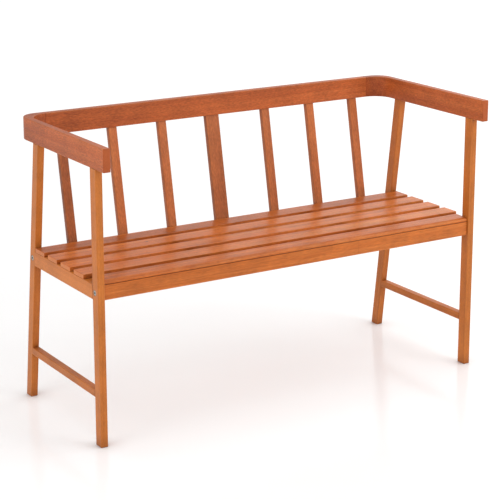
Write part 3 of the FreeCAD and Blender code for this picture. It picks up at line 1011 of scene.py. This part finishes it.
            # Tone of the piece, plus painted light that grows towards the far end, which is painted shade
            # when below 0.
            tone[vertex.index].value = self.tone + self.far_tone * share**self.FAR_POWER
            shares.append(share)
        return shares

    def mark_faces(self, mesh: bpy.types.Mesh, shares: list[float]) -> None:
        """Store which faces are end grain, and the painted shade of the long sides.

        Args:
            mesh: mesh of the board.
            shares: how far along the board each point lies.
        """
        limits = [
            (outward, max(corner.dot(outward) for corner in section) - self.END_DEPTH)
            for section, outward in self.caps()
        ]
        end = mesh.attributes[Mark.END.value].data
        flank = mesh.attributes[Mark.FLANK.value].data
        for polygon in mesh.polygons:
            for outward, limit in limits:
                square = polygon.normal.dot(outward) > self.END_SQUARE
                if square and polygon.center.dot(outward) > limit:
                    end[polygon.index].value = 1.0
            # Painted shade on the long sides, fading towards the far end.
            if abs(polygon.normal.dot(self.across)) > self.FLANK_SQUARE:
                for corner in polygon.loop_indices:
                    share = shares[mesh.loops[corner].vertex_index]
                    flank[corner].value = self.flank_tone * (1.0 - self.flank_fade * share)

    def mark_grain(self, mesh: bpy.types.Mesh) -> None:
        """Store on the mesh what its finish reads.

        Args:
            mesh: mesh of the board.
        """
        for mark, (kind, domain) in self.LAYERS.items():
            mesh.attributes.new(mark.value, kind, domain)
        shares = self.mark_points(mesh)
        self.mark_faces(mesh, shares)

    def build(self) -> bpy.types.Object:
        """Make the board's object and put it in place of its node.

        Returns:
            The new object.
        """
        shell = self.shell()
        name = f"{self.node}_board"
        mesh = bpy.data.meshes.new(name)
        shell.to_mesh(mesh)
        shell.free()
        piece = bpy.data.objects.new(name, mesh)
        bpy.context.scene.collection.objects.link(piece)
        if self.bores:
            self.drill(piece)
        self.mark_grain(piece.data)
        piece.data.shade_smooth()
        piece.data.set_sharp_from_angle(angle=self.SHARP_ANGLE)
        piece.modifiers.new("even_shading", "WEIGHTED_NORMAL").keep_sharp = True
        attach(piece, BODY)
        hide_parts(self.node)
        log.info("%s: %d faces", name, len(piece.data.polygons))
        return piece


def dress(piece: bpy.types.Object, material: bpy.types.Material) -> None:
    """Give a piece its material.

    Args:
        piece: object to dress.
        material: material of all its faces.
    """
    piece.data.materials.clear()
    piece.data.materials.append(material)


def corners(first: tuple[Any, Any], second: Span) -> tuple[tuple[Any, float], ...]:
    """Corners of a rectangle in order round it, from its ranges along two directions."""
    return tuple((first[a], second[b]) for a, b in ((0, 0), (1, 0), (1, 1), (0, 1)))


def lengthwise(x: float, y: Span, z: Span) -> Section:
    """Section across a bar that runs along the bench."""
    return tuple(Vector((x, *corner)) for corner in corners(y, z))


def upright(z: float, x: Span, y: Span) -> Section:
    """Level section across a post."""
    return tuple(Vector((*corner, z)) for corner in corners(x, y))


def crosswise(y: float, x: Span, z: Span, rake: float = 0.0) -> Section:
    """Section across a bar that runs front to back, leaning forward by the rake as it rises."""
    return tuple(Vector((side, y - rake * (level - z[0]), level)) for side, level in corners(x, z))


def node_spans(node: str) -> tuple[Span, Span, Span]:
    """Ranges of a CAD node along the three axes."""
    low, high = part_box(node)
    return tuple((low[axis], high[axis]) for axis in range(3))


def halfway(span: Span) -> float:
    """Number half way along a range."""
    return sum(span) / 2


def straight_board(node: str, across: Vector, **details: Any) -> Board:
    """Board along the bench that fills the box of its node.

    Args:
        node: CAD node.
        across: direction over the board's face.
        **details: other fields of the board.

    Returns:
        The board.
    """
    x, y, z = node_spans(node)
    return Board(node, [lengthwise(end, y, z) for end in x], X_AXIS, across, **details)


@dataclass(frozen=True)
class NutBores:
    """Bores of the barrel nuts in the inner face of an apron.

    Attributes:
        apron: CAD node of the apron.
        inward: direction into the apron from the face under the seat.
        radius: radius of a bore.
        depth: depth of a bore.
    """

    apron: str
    inward: Vector
    radius: float = 0.0051
    depth: float = 0.019

    def bores(self) -> list[Bore]:
        """Bore near each end of the apron.

        Returns:
            The two bores.
        """
        low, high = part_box("barrel_nuts")
        _x, y, z = node_spans(self.apron)
        face = y[0] if self.inward.y > 0 else y[1]
        nut = (high.z - low.z) / 2
        mouths = [Vector((x, face, halfway(z))) for x in (low.x + nut, high.x - nut)]
        return [Bore(mouth, self.inward, self.radius, self.depth) for mouth in mouths]


@dataclass(frozen=True)
class ScrewRecess:
    """Recess for the head of a slat screw, open underneath.

    Attributes:
        depth: depth of the recess.
        radius: radius of the recess.
    """

    depth: float
    radius: float = 0.0043

    def at(self, x: float, y: float, bottom: float) -> Bore:
        """Recess at a place in the underside of a board."""
        return Bore(Vector((x, y, bottom)), Z_AXIS, self.radius, self.depth)

    def under_slats(self, x: float, bottom: float) -> list[Bore]:
        """Recess below the middle of each long slat, in a bar that crosses them."""
        return [self.at(x, halfway(node_spans(slat)[1]), bottom) for slat in LONG_SLATS]


EUCALYPTUS_FRAME = OiledWood(
    name="frame_wood",
    deep=(0.420, 0.112, 0.017),
    middle=(0.546, 0.160, 0.026),
    pale=(0.641, 0.214, 0.042),
    edge=(0.693, 0.276, 0.085),
    end=(0.441, 0.123, 0.026),
    streak=0.007,
    flecks=0.50,
)
EUCALYPTUS_RAIL = OiledWood(
    name="rail_wood",
    deep=(0.364, 0.073, 0.017),
    middle=(0.474, 0.109, 0.025),
    pale=(0.562, 0.153, 0.039),
    edge=(0.661, 0.256, 0.097),
    end=(0.463, 0.100, 0.023),
    streak=0.012,
    contrast=1.3,
    flecks=1.15,
    fleck_rate=110.0,
)
EUCALYPTUS_SPINDLE = OiledWood(
    name="spindle_wood",
    deep=(0.367, 0.090, 0.024),
    middle=(0.476, 0.131, 0.035),
    pale=(0.563, 0.176, 0.052),
    edge=(0.627, 0.246, 0.092),
    end=(0.390, 0.097, 0.025),
    streak=0.008,
    flecks=1.0,
    fleck_rate=95.0,
)
EUCALYPTUS_APRON = OiledWood(
    name="apron_wood",
    deep=(0.440, 0.103, 0.014),
    middle=(0.566, 0.145, 0.023),
    pale=(0.659, 0.195, 0.038),
    edge=(0.716, 0.268, 0.074),
    end=(0.462, 0.118, 0.025),
    streak=0.006,
    contrast=1.7,
    flecks=0.65,
    fleck_rate=60.0,
    joint=GluedJoint(0.200),
)
EUCALYPTUS_SLAT = OiledWood(
    name="slat_wood",
    deep=(0.447, 0.099, 0.016),
    middle=(0.572, 0.144, 0.027),
    pale=(0.675, 0.222, 0.050),
    edge=(0.732, 0.268, 0.074),
    end=(0.800, 0.285, 0.075),
    contrast=2.4,
    flecks=0.9,
    fleck_rate=90.0,
    roughness=(0.28, 0.42),
    shine=0.19,
    knot=Knot((-0.318, 0.060, 0.441)),
)
RAW_BEECH = OiledWood(
    name="dowel_wood",
    deep=(0.420, 0.250, 0.130),
    middle=(0.560, 0.370, 0.210),
    pale=(0.640, 0.450, 0.280),
    edge=(0.660, 0.480, 0.310),
    end=(0.480, 0.310, 0.180),
    roughness=(0.55, 0.70),
    shine=0.15,
    coordinates=Coordinates.OBJECT,
)
ZINC_STEEL = PlatedSteel("zinc_steel", dull=(0.34, 0.32, 0.29), bright=(0.52, 0.49, 0.44))


@dataclass
class SideFrame:
    """Legs, arm, side rail and stretcher at one end of the bench.

    Attributes:
        side: which end it is.
        corner_radius: inner and outer curve of the arm's corner.
        corner_steps: sections round the corner.
        arm_tone: how much lighter than its finish the arm is.
        corner_tone: how much lighter the arm is at its corner than at its front; below 0 it is painted
            shade in the hollow of the corner.
        side_rail_tone: how much lighter the seat rail is.
        stretcher_tone: how much lighter the stretcher is.
        rear_leg_tone: how much lighter the left rear leg is, and the right one darker.
        rail_thickness: back rail, front to back, which the arm's end meets.
        leg_depth: legs, front to back.
        bolt_head_radius: radius of a bolt's head.
        recess_gap: room round a bolt's head.
        recess_depth: depth of the recess for a bolt's head.
        screw_recess: recess of a slat screw under the side rail.
    """

    side: Side
    corner_radius: float = 0.050
    corner_steps: int = 14
    arm_tone: float = 0.08
    corner_tone: float = -0.45
    side_rail_tone: float = 0.05
    stretcher_tone: float = -0.06
    rear_leg_tone: float = 0.07
    rail_thickness: float = 0.022
    leg_depth: float = 0.030
    bolt_head_radius: float = 0.0075
    recess_gap: float = 0.0003
    recess_depth: float = 0.0033
    screw_recess: ScrewRecess = ScrewRecess(depth=0.026)

    def name(self, piece: str) -> str:
        """Node name of a piece at this side."""
        return f"{self.side.word}_{piece}"

    @property
    def leg_span(self) -> Span:
        """Range of the legs along the bench."""
        return node_spans(self.name(Leg.FRONT.value))[0]

    @property
    def rake(self) -> float:
        """How far a rear leg leans forward for each unit of height."""
        _x, y, z = node_spans(self.name(Leg.REAR.value))
        return (y[1] - y[0] - self.leg_depth) / (z[1] - z[0])

    def bolt_recess(self, leg: Leg) -> Bore:
        """Recess for a bolt's head in the outer face of a leg.

        Args:
            leg: which leg it is in.

        Returns:
            The hole.
        """
        low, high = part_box("frame_bolts")
        head = self.bolt_head_radius
        y = low.y + head if leg is Leg.FRONT else high.y - head
        outer = self.leg_span[0] if self.side is Side.LEFT else self.leg_span[1]
        mouth = Vector((outer, y, (low.z + high.z) / 2))
        return Bore(mouth, X_AXIS * -self.side.value, head + self.recess_gap, self.recess_depth)

    def front_leg(self) -> Board:
        """Upright leg under the front of the arm.

        Returns:
            The board.
        """
        node = self.name(Leg.FRONT.value)
        x, y, z = node_spans(node)
        sections = [upright(level, x, y) for level in z]
        bores = [self.bolt_recess(Leg.FRONT)]
        return Board(node, sections, Z_AXIS, Y_AXIS, ends=(End.EASED, End.BUTT), bores=bores)

    def rear_leg(self) -> Board:
        """Leg that rakes back from the arm to the floor.

        Returns:
            The board.
        """
        node = self.name(Leg.REAR.value)
        x, y, z = node_spans(node)
        foot = (y[1] - self.leg_depth, y[1])
        head = (y[0], y[0] + self.leg_depth)
        along = Vector((0.0, -self.rake, 1.0)).normalized()
        return Board(
            node,
            [upright(z[0], x, foot), upright(z[1], x, head)],
            along,
            along.cross(X_AXIS),
            ends=(End.EASED, End.BUTT),
            bores=[self.bolt_recess(Leg.REAR)],
            tone=-self.rear_leg_tone * self.side.value,
        )

    def arm_plan(self) -> list[Vector]:
        """Outer line of the right arm in plan, from its front round the corner to the back rail.

        Returns:
            The points of the line.
        """
        x, y, _z = node_spans(self.name("arm"))
        outer = max(abs(end) for end in x)
        joint = min(abs(end) for end in x)
        radius = self.corner_radius
        plan = [Vector((outer, y[0]))]
        for step in range(self.corner_steps + 1):
            turn = QUARTER_TURN * step / self.corner_steps
            side = outer - radius * (1 - math.cos(turn))
            rear = y[1] - radius * (1 - math.sin(turn))
            plan.append(Vector((side, rear)))
        return [*plan, Vector((joint, y[1]))]

    def arm(self) -> Board:
        """Arm board with its round corner, from its front end to the joint with the back rail.

        Returns:
            The board.
        """
        z = node_spans(self.name("arm"))[2]
        inward = Vector((self.leg_span[0] - self.leg_span[1], -self.rail_thickness))
        plan = self.arm_plan()
        inner = [point + inward for point in plan]
        inner[0] = plan[0] + Vector((inward.x, 0.0))
        inner[-1] = plan[-1] + Vector((0.0, inward.y))
        sections = [
            tuple(Vector((self.side.value * at.x, at.y, level)) for at, level in corners(pair, z))
            for pair in zip(plan, inner)
        ]
        return Board(
            self.name("arm"),
            sections,
            Y_AXIS,
            Z_AXIS,
            ends=(End.EASED, End.SEAM),
            tone=self.arm_tone,
            # Painted shade that grows into the hollow of the corner.
            far_tone=self.corner_tone,
        )

    def cross_bar(self, node: str, **details: Any) -> Board:
        """Bar between the two legs, cut to the rake of the rear leg.

        Args:
            node: CAD node of the bar.
            **details: other fields of the board.

        Returns:
            The board.
        """
        x, y, z = node_spans(node)
        sections = [crosswise(y[0], x, z), crosswise(y[1], x, z, self.rake)]
        return Board(node, sections, Y_AXIS, Z_AXIS, **details)

    def side_rail(self) -> Board:
        """Seat rail with the recesses of the slat screws underneath.

        Returns:
            The board.
        """
        node = self.name("side_rail")
        bottom = node_spans(node)[2][0]
        bores = self.screw_recess.under_slats(halfway(self.leg_span), bottom)
        return self.cross_bar(node, bores=bores, tone=self.side_rail_tone)

    def stretcher(self) -> Board:
        """Low bar between the two legs."""
        return self.cross_bar(self.name("stretcher"), tone=self.stretcher_tone)

    def build(self, frame_wood: bpy.types.Material, rail_wood: bpy.types.Material) -> None:
        """Make and dress the pieces of this side.

        Args:
            frame_wood: material of the legs and bars.
            rail_wood: material of the arm.
        """
        for board in (self.front_leg(), self.rear_leg(), self.side_rail(), self.stretcher()):
            dress(board.build(), frame_wood)
        dress(self.arm().build(), rail_wood)


@dataclass
class Back:
    """Back rail, leaning spindles, centre splat and the rear apron that carries them.

    Attributes:
        thickness: spindles and splat, from face to face.
        tones: how much lighter each upright is, from the left, with the splat last.
        flank_tone: how much lighter the sides of an upright are than its face; below 0 it is painted shade
            on them.
        rail_tone: how much lighter the back rail is.
        rail_far_tone: painted light on the back rail that grows towards the right.
        nuts: bores of the nuts in the rear apron.
    """

    thickness: float = 0.015
    tones: tuple[float, ...] = (-0.32, 0.02, 0.12, -0.03, 0.12, 0.08, -0.10)
    flank_tone: float = -0.22
    rail_tone: float = -0.06
    rail_far_tone: float = 0.12
    nuts: NutBores = NutBores("rear_apron", Y_AXIS)

    def rail(self) -> Board:
        """Back rail between its joints with the two arms."""
        # Painted light that grows towards the right.
        tones = {"tone": self.rail_tone, "far_tone": self.rail_far_tone}
        return straight_board("back_rail", Z_AXIS, ends=(End.SEAM, End.SEAM), **tones)

    def spindle(self, node: str, tone: float) -> Board:
        """Leaning upright between the rear apron and the back rail.

        Args:
            node: CAD node of the upright.
            tone: how much lighter than its finish it is.

        Returns:
            The board.
        """
        x = node_spans(node)[0]
        _apron_x, apron_y, apron_z = node_spans("rear_apron")
        _rail_x, rail_y, rail_z = node_spans("back_rail")
        foot = Vector((0.0, halfway(apron_y), apron_z[1]))
        head = Vector((0.0, halfway(rail_y), rail_z[0]))
        along = (head - foot).normalized()
        half = self.thickness / along.z / 2
        sections = [upright(point.z, x, (point.y - half, point.y + half)) for point in (foot, head)]
        return Board(node, sections, along, X_AXIS, tone=tone, flank_tone=self.flank_tone)

    def rear_apron(self) -> Board:
        """Rail between the rear legs, with the nut bores in its front face."""
        return straight_board("rear_apron", Z_AXIS, bores=self.nuts.bores())

    def build(
        self,
        spindle_wood: bpy.types.Material,
        rail_wood: bpy.types.Material,
        apron_wood: bpy.types.Material,
    ) -> None:
        """Make and dress the pieces of the back.

        Args:
            spindle_wood: material of the uprights.
            rail_wood: material of the back rail.
            apron_wood: material of the rear apron.
        """
        dress(self.rail().build(), rail_wood)
        nodes = [f"spindle_{number}" for number in range(1, len(self.tones))] + ["centre_splat"]
        for node, tone in zip(nodes, self.tones):
            dress(self.spindle(node, tone).build(), spindle_wood)
        dress(self.rear_apron().build(), apron_wood)


@dataclass
class Seat:
    """Slats, front apron and the bearers under them.

    Attributes:
        nose: radius of the front slat's front edge.
        shadow_gap: bevel under the front slat, where it meets the apron, which carries painted shade.
        joint_bevel: bevel of the apron there, which carries painted shade.
        tones: how much lighter each slat is, from the rear, with the front slat last.
        far_tone: painted light on the slats and the apron that grows towards the right.
        flank_tone: how much lighter the sides of a slat are than its top; below 0 it is painted shade in
            the gaps.
        flank_fade: share of that painted shade which is lost towards the right.
        slat_rounding: radius of the slats' edges.
        bearer_rounding: radius of the bearers' edges.
        bearer_recess: recess of a slat screw under a bearer.
        apron_recess: recess of a slat screw under the front apron.
        nuts: bores of the nuts in the front apron.
    """

    nose: float = 0.0095
    shadow_gap: float = 0.0017
    joint_bevel: float = 0.0003
    tones: tuple[float, ...] = (-0.26, -0.08, 0.00, 0.02, -0.13)
    far_tone: float = 0.13
    flank_tone: float = -0.18
    flank_fade: float = 0.85
    slat_rounding: float = 0.0012
    bearer_rounding: float = 0.0005
    bearer_recess: ScrewRecess = ScrewRecess(depth=0.014)
    apron_recess: ScrewRecess = ScrewRecess(depth=0.026)
    nuts: NutBores = NutBores("front_apron", -Y_AXIS)

    # Corners of a lengthwise section that lie at the front of the seat.
    FRONT_BOTTOM: ClassVar[int] = 0
    FRONT_TOP: ClassVar[int] = 3

    def slat(self, node: str, tone: float) -> Board:
        """Long slat, eased all round.

        Args:
            node: CAD node of the slat.
            tone: how much lighter than its finish it is.

        Returns:
            The board.
        """
        return straight_board(
            node,
            Y_AXIS,
            rounding=self.slat_rounding,
            ends=(End.EASED, End.EASED),
            tone=tone,
            far_tone=self.far_tone,
            flank_tone=self.flank_tone - tone,
            flank_fade=self.flank_fade,
        )

    def front_slat(self) -> Board:
        """Slat between the front legs, with its rounded nose.

        Returns:
            The board.
        """
        return straight_board(
            "front_slat",
            Y_AXIS,
            rounding=self.slat_rounding,
            noses={self.FRONT_TOP: self.nose},
            joint_edges={self.FRONT_BOTTOM: self.shadow_gap},
            tone=self.tones[-1],
            far_tone=self.far_tone,
        )

    def front_apron(self) -> Board:
        """Rail under the front slat, with the bores of its nuts and the recesses of the slat's screws.

        Returns:
            The board.
        """
        _x, y, z = node_spans("front_apron")
        leg = node_spans("right_front_leg")[0][0]
        bearer = halfway(node_spans("right_bearer")[0])
        bores = self.nuts.bores()
        for place in (bearer / 2, (bearer + leg) / 2):
            bores += [self.apron_recess.at(side.value * place, halfway(y), z[0]) for side in Side]
        joint = {self.FRONT_TOP: self.joint_bevel}
        return straight_board("front_apron", Z_AXIS, bores=bores, joint_edges=joint, far_tone=self.far_tone)

    def bearer(self, side: Side) -> Board:
        """Bar under the slats, with the recesses of their screws.

        Args:
            side: which of the two bars it is.

        Returns:
            The board.
        """
        node = f"{side.word}_bearer"
        x, y, z = node_spans(node)
        bores = self.bearer_recess.under_slats(halfway(x), z[0])
        sections = [crosswise(end, x, z) for end in y]
        return Board(node, sections, Y_AXIS, X_AXIS, self.bearer_rounding, bores=bores)

    def build(self, slat_wood: bpy.types.Material, apron_wood: bpy.types.Material) -> None:
        """Make and dress the pieces of the seat.

        Args:
            slat_wood: material of the slats.
            apron_wood: material of the apron and the bearers.
        """
        for node, tone in zip(LONG_SLATS, self.tones):
            dress(self.slat(node, tone).build(), slat_wood)
        dress(self.front_slat().build(), slat_wood)
        dress(self.front_apron().build(), apron_wood)
        for side in Side:
            dress(self.bearer(side).build(), apron_wood)


@dataclass
class Fixings:
    """Bolts, nuts, screws and dowels, which keep their CAD shapes.

    Attributes:
        metal: nodes of steel.
        wooden: nodes of raw wood.
    """

    metal: tuple[str, ...] = ("frame_bolts", "barrel_nuts", "slat_screws")
    wooden: tuple[str, ...] = (
        "leg_dowels",
        "side_rail_dowels",
        "stretcher_dowels",
        "corner_dowels",
        "bearer_dowels",
    )

    def build(self) -> None:
        """Dress the fixings."""
        for nodes, finish in ((self.metal, ZINC_STEEL), (self.wooden, RAW_BEECH)):
            material = finish.material()
            for node in nodes:
                dress(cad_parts[node], material)
                log.info("%s: dressed in %s", node, finish.name)


@dataclass(frozen=True)
class SoftLamp:
    """Square studio lamp with a wide soft face.

    Attributes:
        name: name of the lamp.
        place: where it hangs.
        target: what it points at.
        size: width of its face.
        power: light that it gives.
    """

    name: str
    place: Place
    target: Place
    size: float
    power: float

    def build(self) -> None:
        """Hang the lamp."""
        light = bpy.data.lights.new(self.name, "AREA")
        light.shape = "SQUARE"
        light.size = self.size
        light.energy = self.power
        lamp = bpy.data.objects.new(self.name, light)
        lamp.location = self.place
        aim = Vector(self.target) - Vector(self.place)
        lamp.rotation_mode = "QUATERNION"
        lamp.rotation_quaternion = aim.to_track_quat("-Z", "Y")
        bpy.context.scene.collection.objects.link(lamp)


@dataclass
class Studio:
    """White floor, soft light and the camera.

    Attributes:
        floor_size: width of the floor.
        ambient: light from all round.
        reflected: brightness of the room in reflections, at its left and at its right.
        brightening: how far to the right the room begins and ends to brighten.
        eye: where the camera stands.
        yaw: turn of the camera to the right of straight ahead, in degrees.
        pitch: tilt of the camera below the horizon, in degrees.
        sensor_width: width of the camera's sensor in millimetres.
        focal_pixels: focal length in pixels of the image.
        drop_pixels: how far the middle of the image lies below the camera's axis.
        lamps: lamps round the bench.
    """

    floor_size: float = 60.0
    ambient: float = 0.76
    reflected: Span = (0.55, 1.45)
    brightening: Span = (0.35, 0.65)
    eye: Place = (-2.3262, -3.6898, 1.6334)
    yaw: float = 31.935
    pitch: float = 13.874
    sensor_width: float = 36.0
    focal_pixels: float = 1630.41
    drop_pixels: float = 60.0
    lamps: tuple[SoftLamp, ...] = (
        SoftLamp("front_lamp", (2.0, -2.7, 2.2), (0.1, 0.0, 0.5), 2.0, 34.0),
        SoftLamp("left_lamp", (-3.2, -0.6, 1.3), (0.0, 0.0, 0.5), 1.8, 19.0),
        SoftLamp("top_lamp", (1.5, 0.0, 2.6), (0.2, 0.0, 0.4), 1.8, 12.0),
    )

    def floor(self) -> None:
        """Lay the floor."""
        mesh = bpy.data.meshes.new("floor")
        half = self.floor_size / 2
        sheet = upright(0.0, (-half, half), (-half, half))
        mesh.from_pydata(sheet, [], [(0, 1, 2, 3)])
        floor = bpy.data.objects.new("floor", mesh)
        bpy.context.scene.collection.objects.link(floor)
        mesh.materials.append(WhiteFloor().material())

    def world(self) -> None:
        """Light the room evenly, show it white, and let its reflections brighten to the right."""
        world = bpy.data.worlds.new("studio")
        graph = Graph.of(world)
        light = graph.add("ShaderNodeBackground", {"Color": WHITE, "Strength": self.ambient}).outputs[0]
        direction = graph.add("ShaderNodeTexCoord").outputs["Generated"]
        mirrored = graph.remap(graph.rightward(direction), self.brightening, self.reflected)
        seen = graph.add("ShaderNodeLightPath").outputs["Is Camera Ray"]
        brightness = graph.math("MAXIMUM", seen, mirrored)
        shown = graph.add("ShaderNodeBackground", {"Color": WHITE, "Strength": brightness}).outputs[0]
        shaders = {0: graph.seen_directly(), 1: light, 2: shown}
        mixed = graph.add("ShaderNodeMixShader", shaders).outputs[0]
        graph.add("ShaderNodeOutputWorld", {"Surface": mixed})
        bpy.context.scene.world = world

    def camera(self) -> None:
        """Stand the camera where the photograph was taken from."""
        data = bpy.data.cameras.new("camera")
        data.sensor_width = self.sensor_width
        data.lens = self.sensor_width * self.focal_pixels / IMAGE_WIDTH
        data.shift_y = -self.drop_pixels / IMAGE_WIDTH
        camera = bpy.data.objects.new("camera", data)
        camera.location = self.eye
        camera.rotation_euler = (QUARTER_TURN - math.radians(self.pitch), 0.0, -math.radians(self.yaw))
        bpy.context.scene.collection.objects.link(camera)
        bpy.context.scene.camera = camera

    def build(self) -> None:
        """Set up the studio."""
        self.floor()
        self.world()
        for lamp in self.lamps:
            lamp.build()
        self.camera()
        bpy.context.scene.view_settings.view_transform = "Standard"
        log.info("studio: %d lamps", len(self.lamps))


def main() -> None:
    """Build the bench, piece by piece, and the studio round it."""
    logging.basicConfig(level=logging.INFO, format="%(name)s: %(message)s")
    frame_wood = EUCALYPTUS_FRAME.material()
    rail_wood = EUCALYPTUS_RAIL.material()
    apron_wood = EUCALYPTUS_APRON.material()
    for side in Side:
        SideFrame(side).build(frame_wood, rail_wood)
    Back().build(EUCALYPTUS_SPINDLE.material(), rail_wood, apron_wood)
    Seat().build(EUCALYPTUS_SLAT.material(), apron_wood)
    Fixings().build()
    Studio().build()


if __name__ == "__main__":
    main()
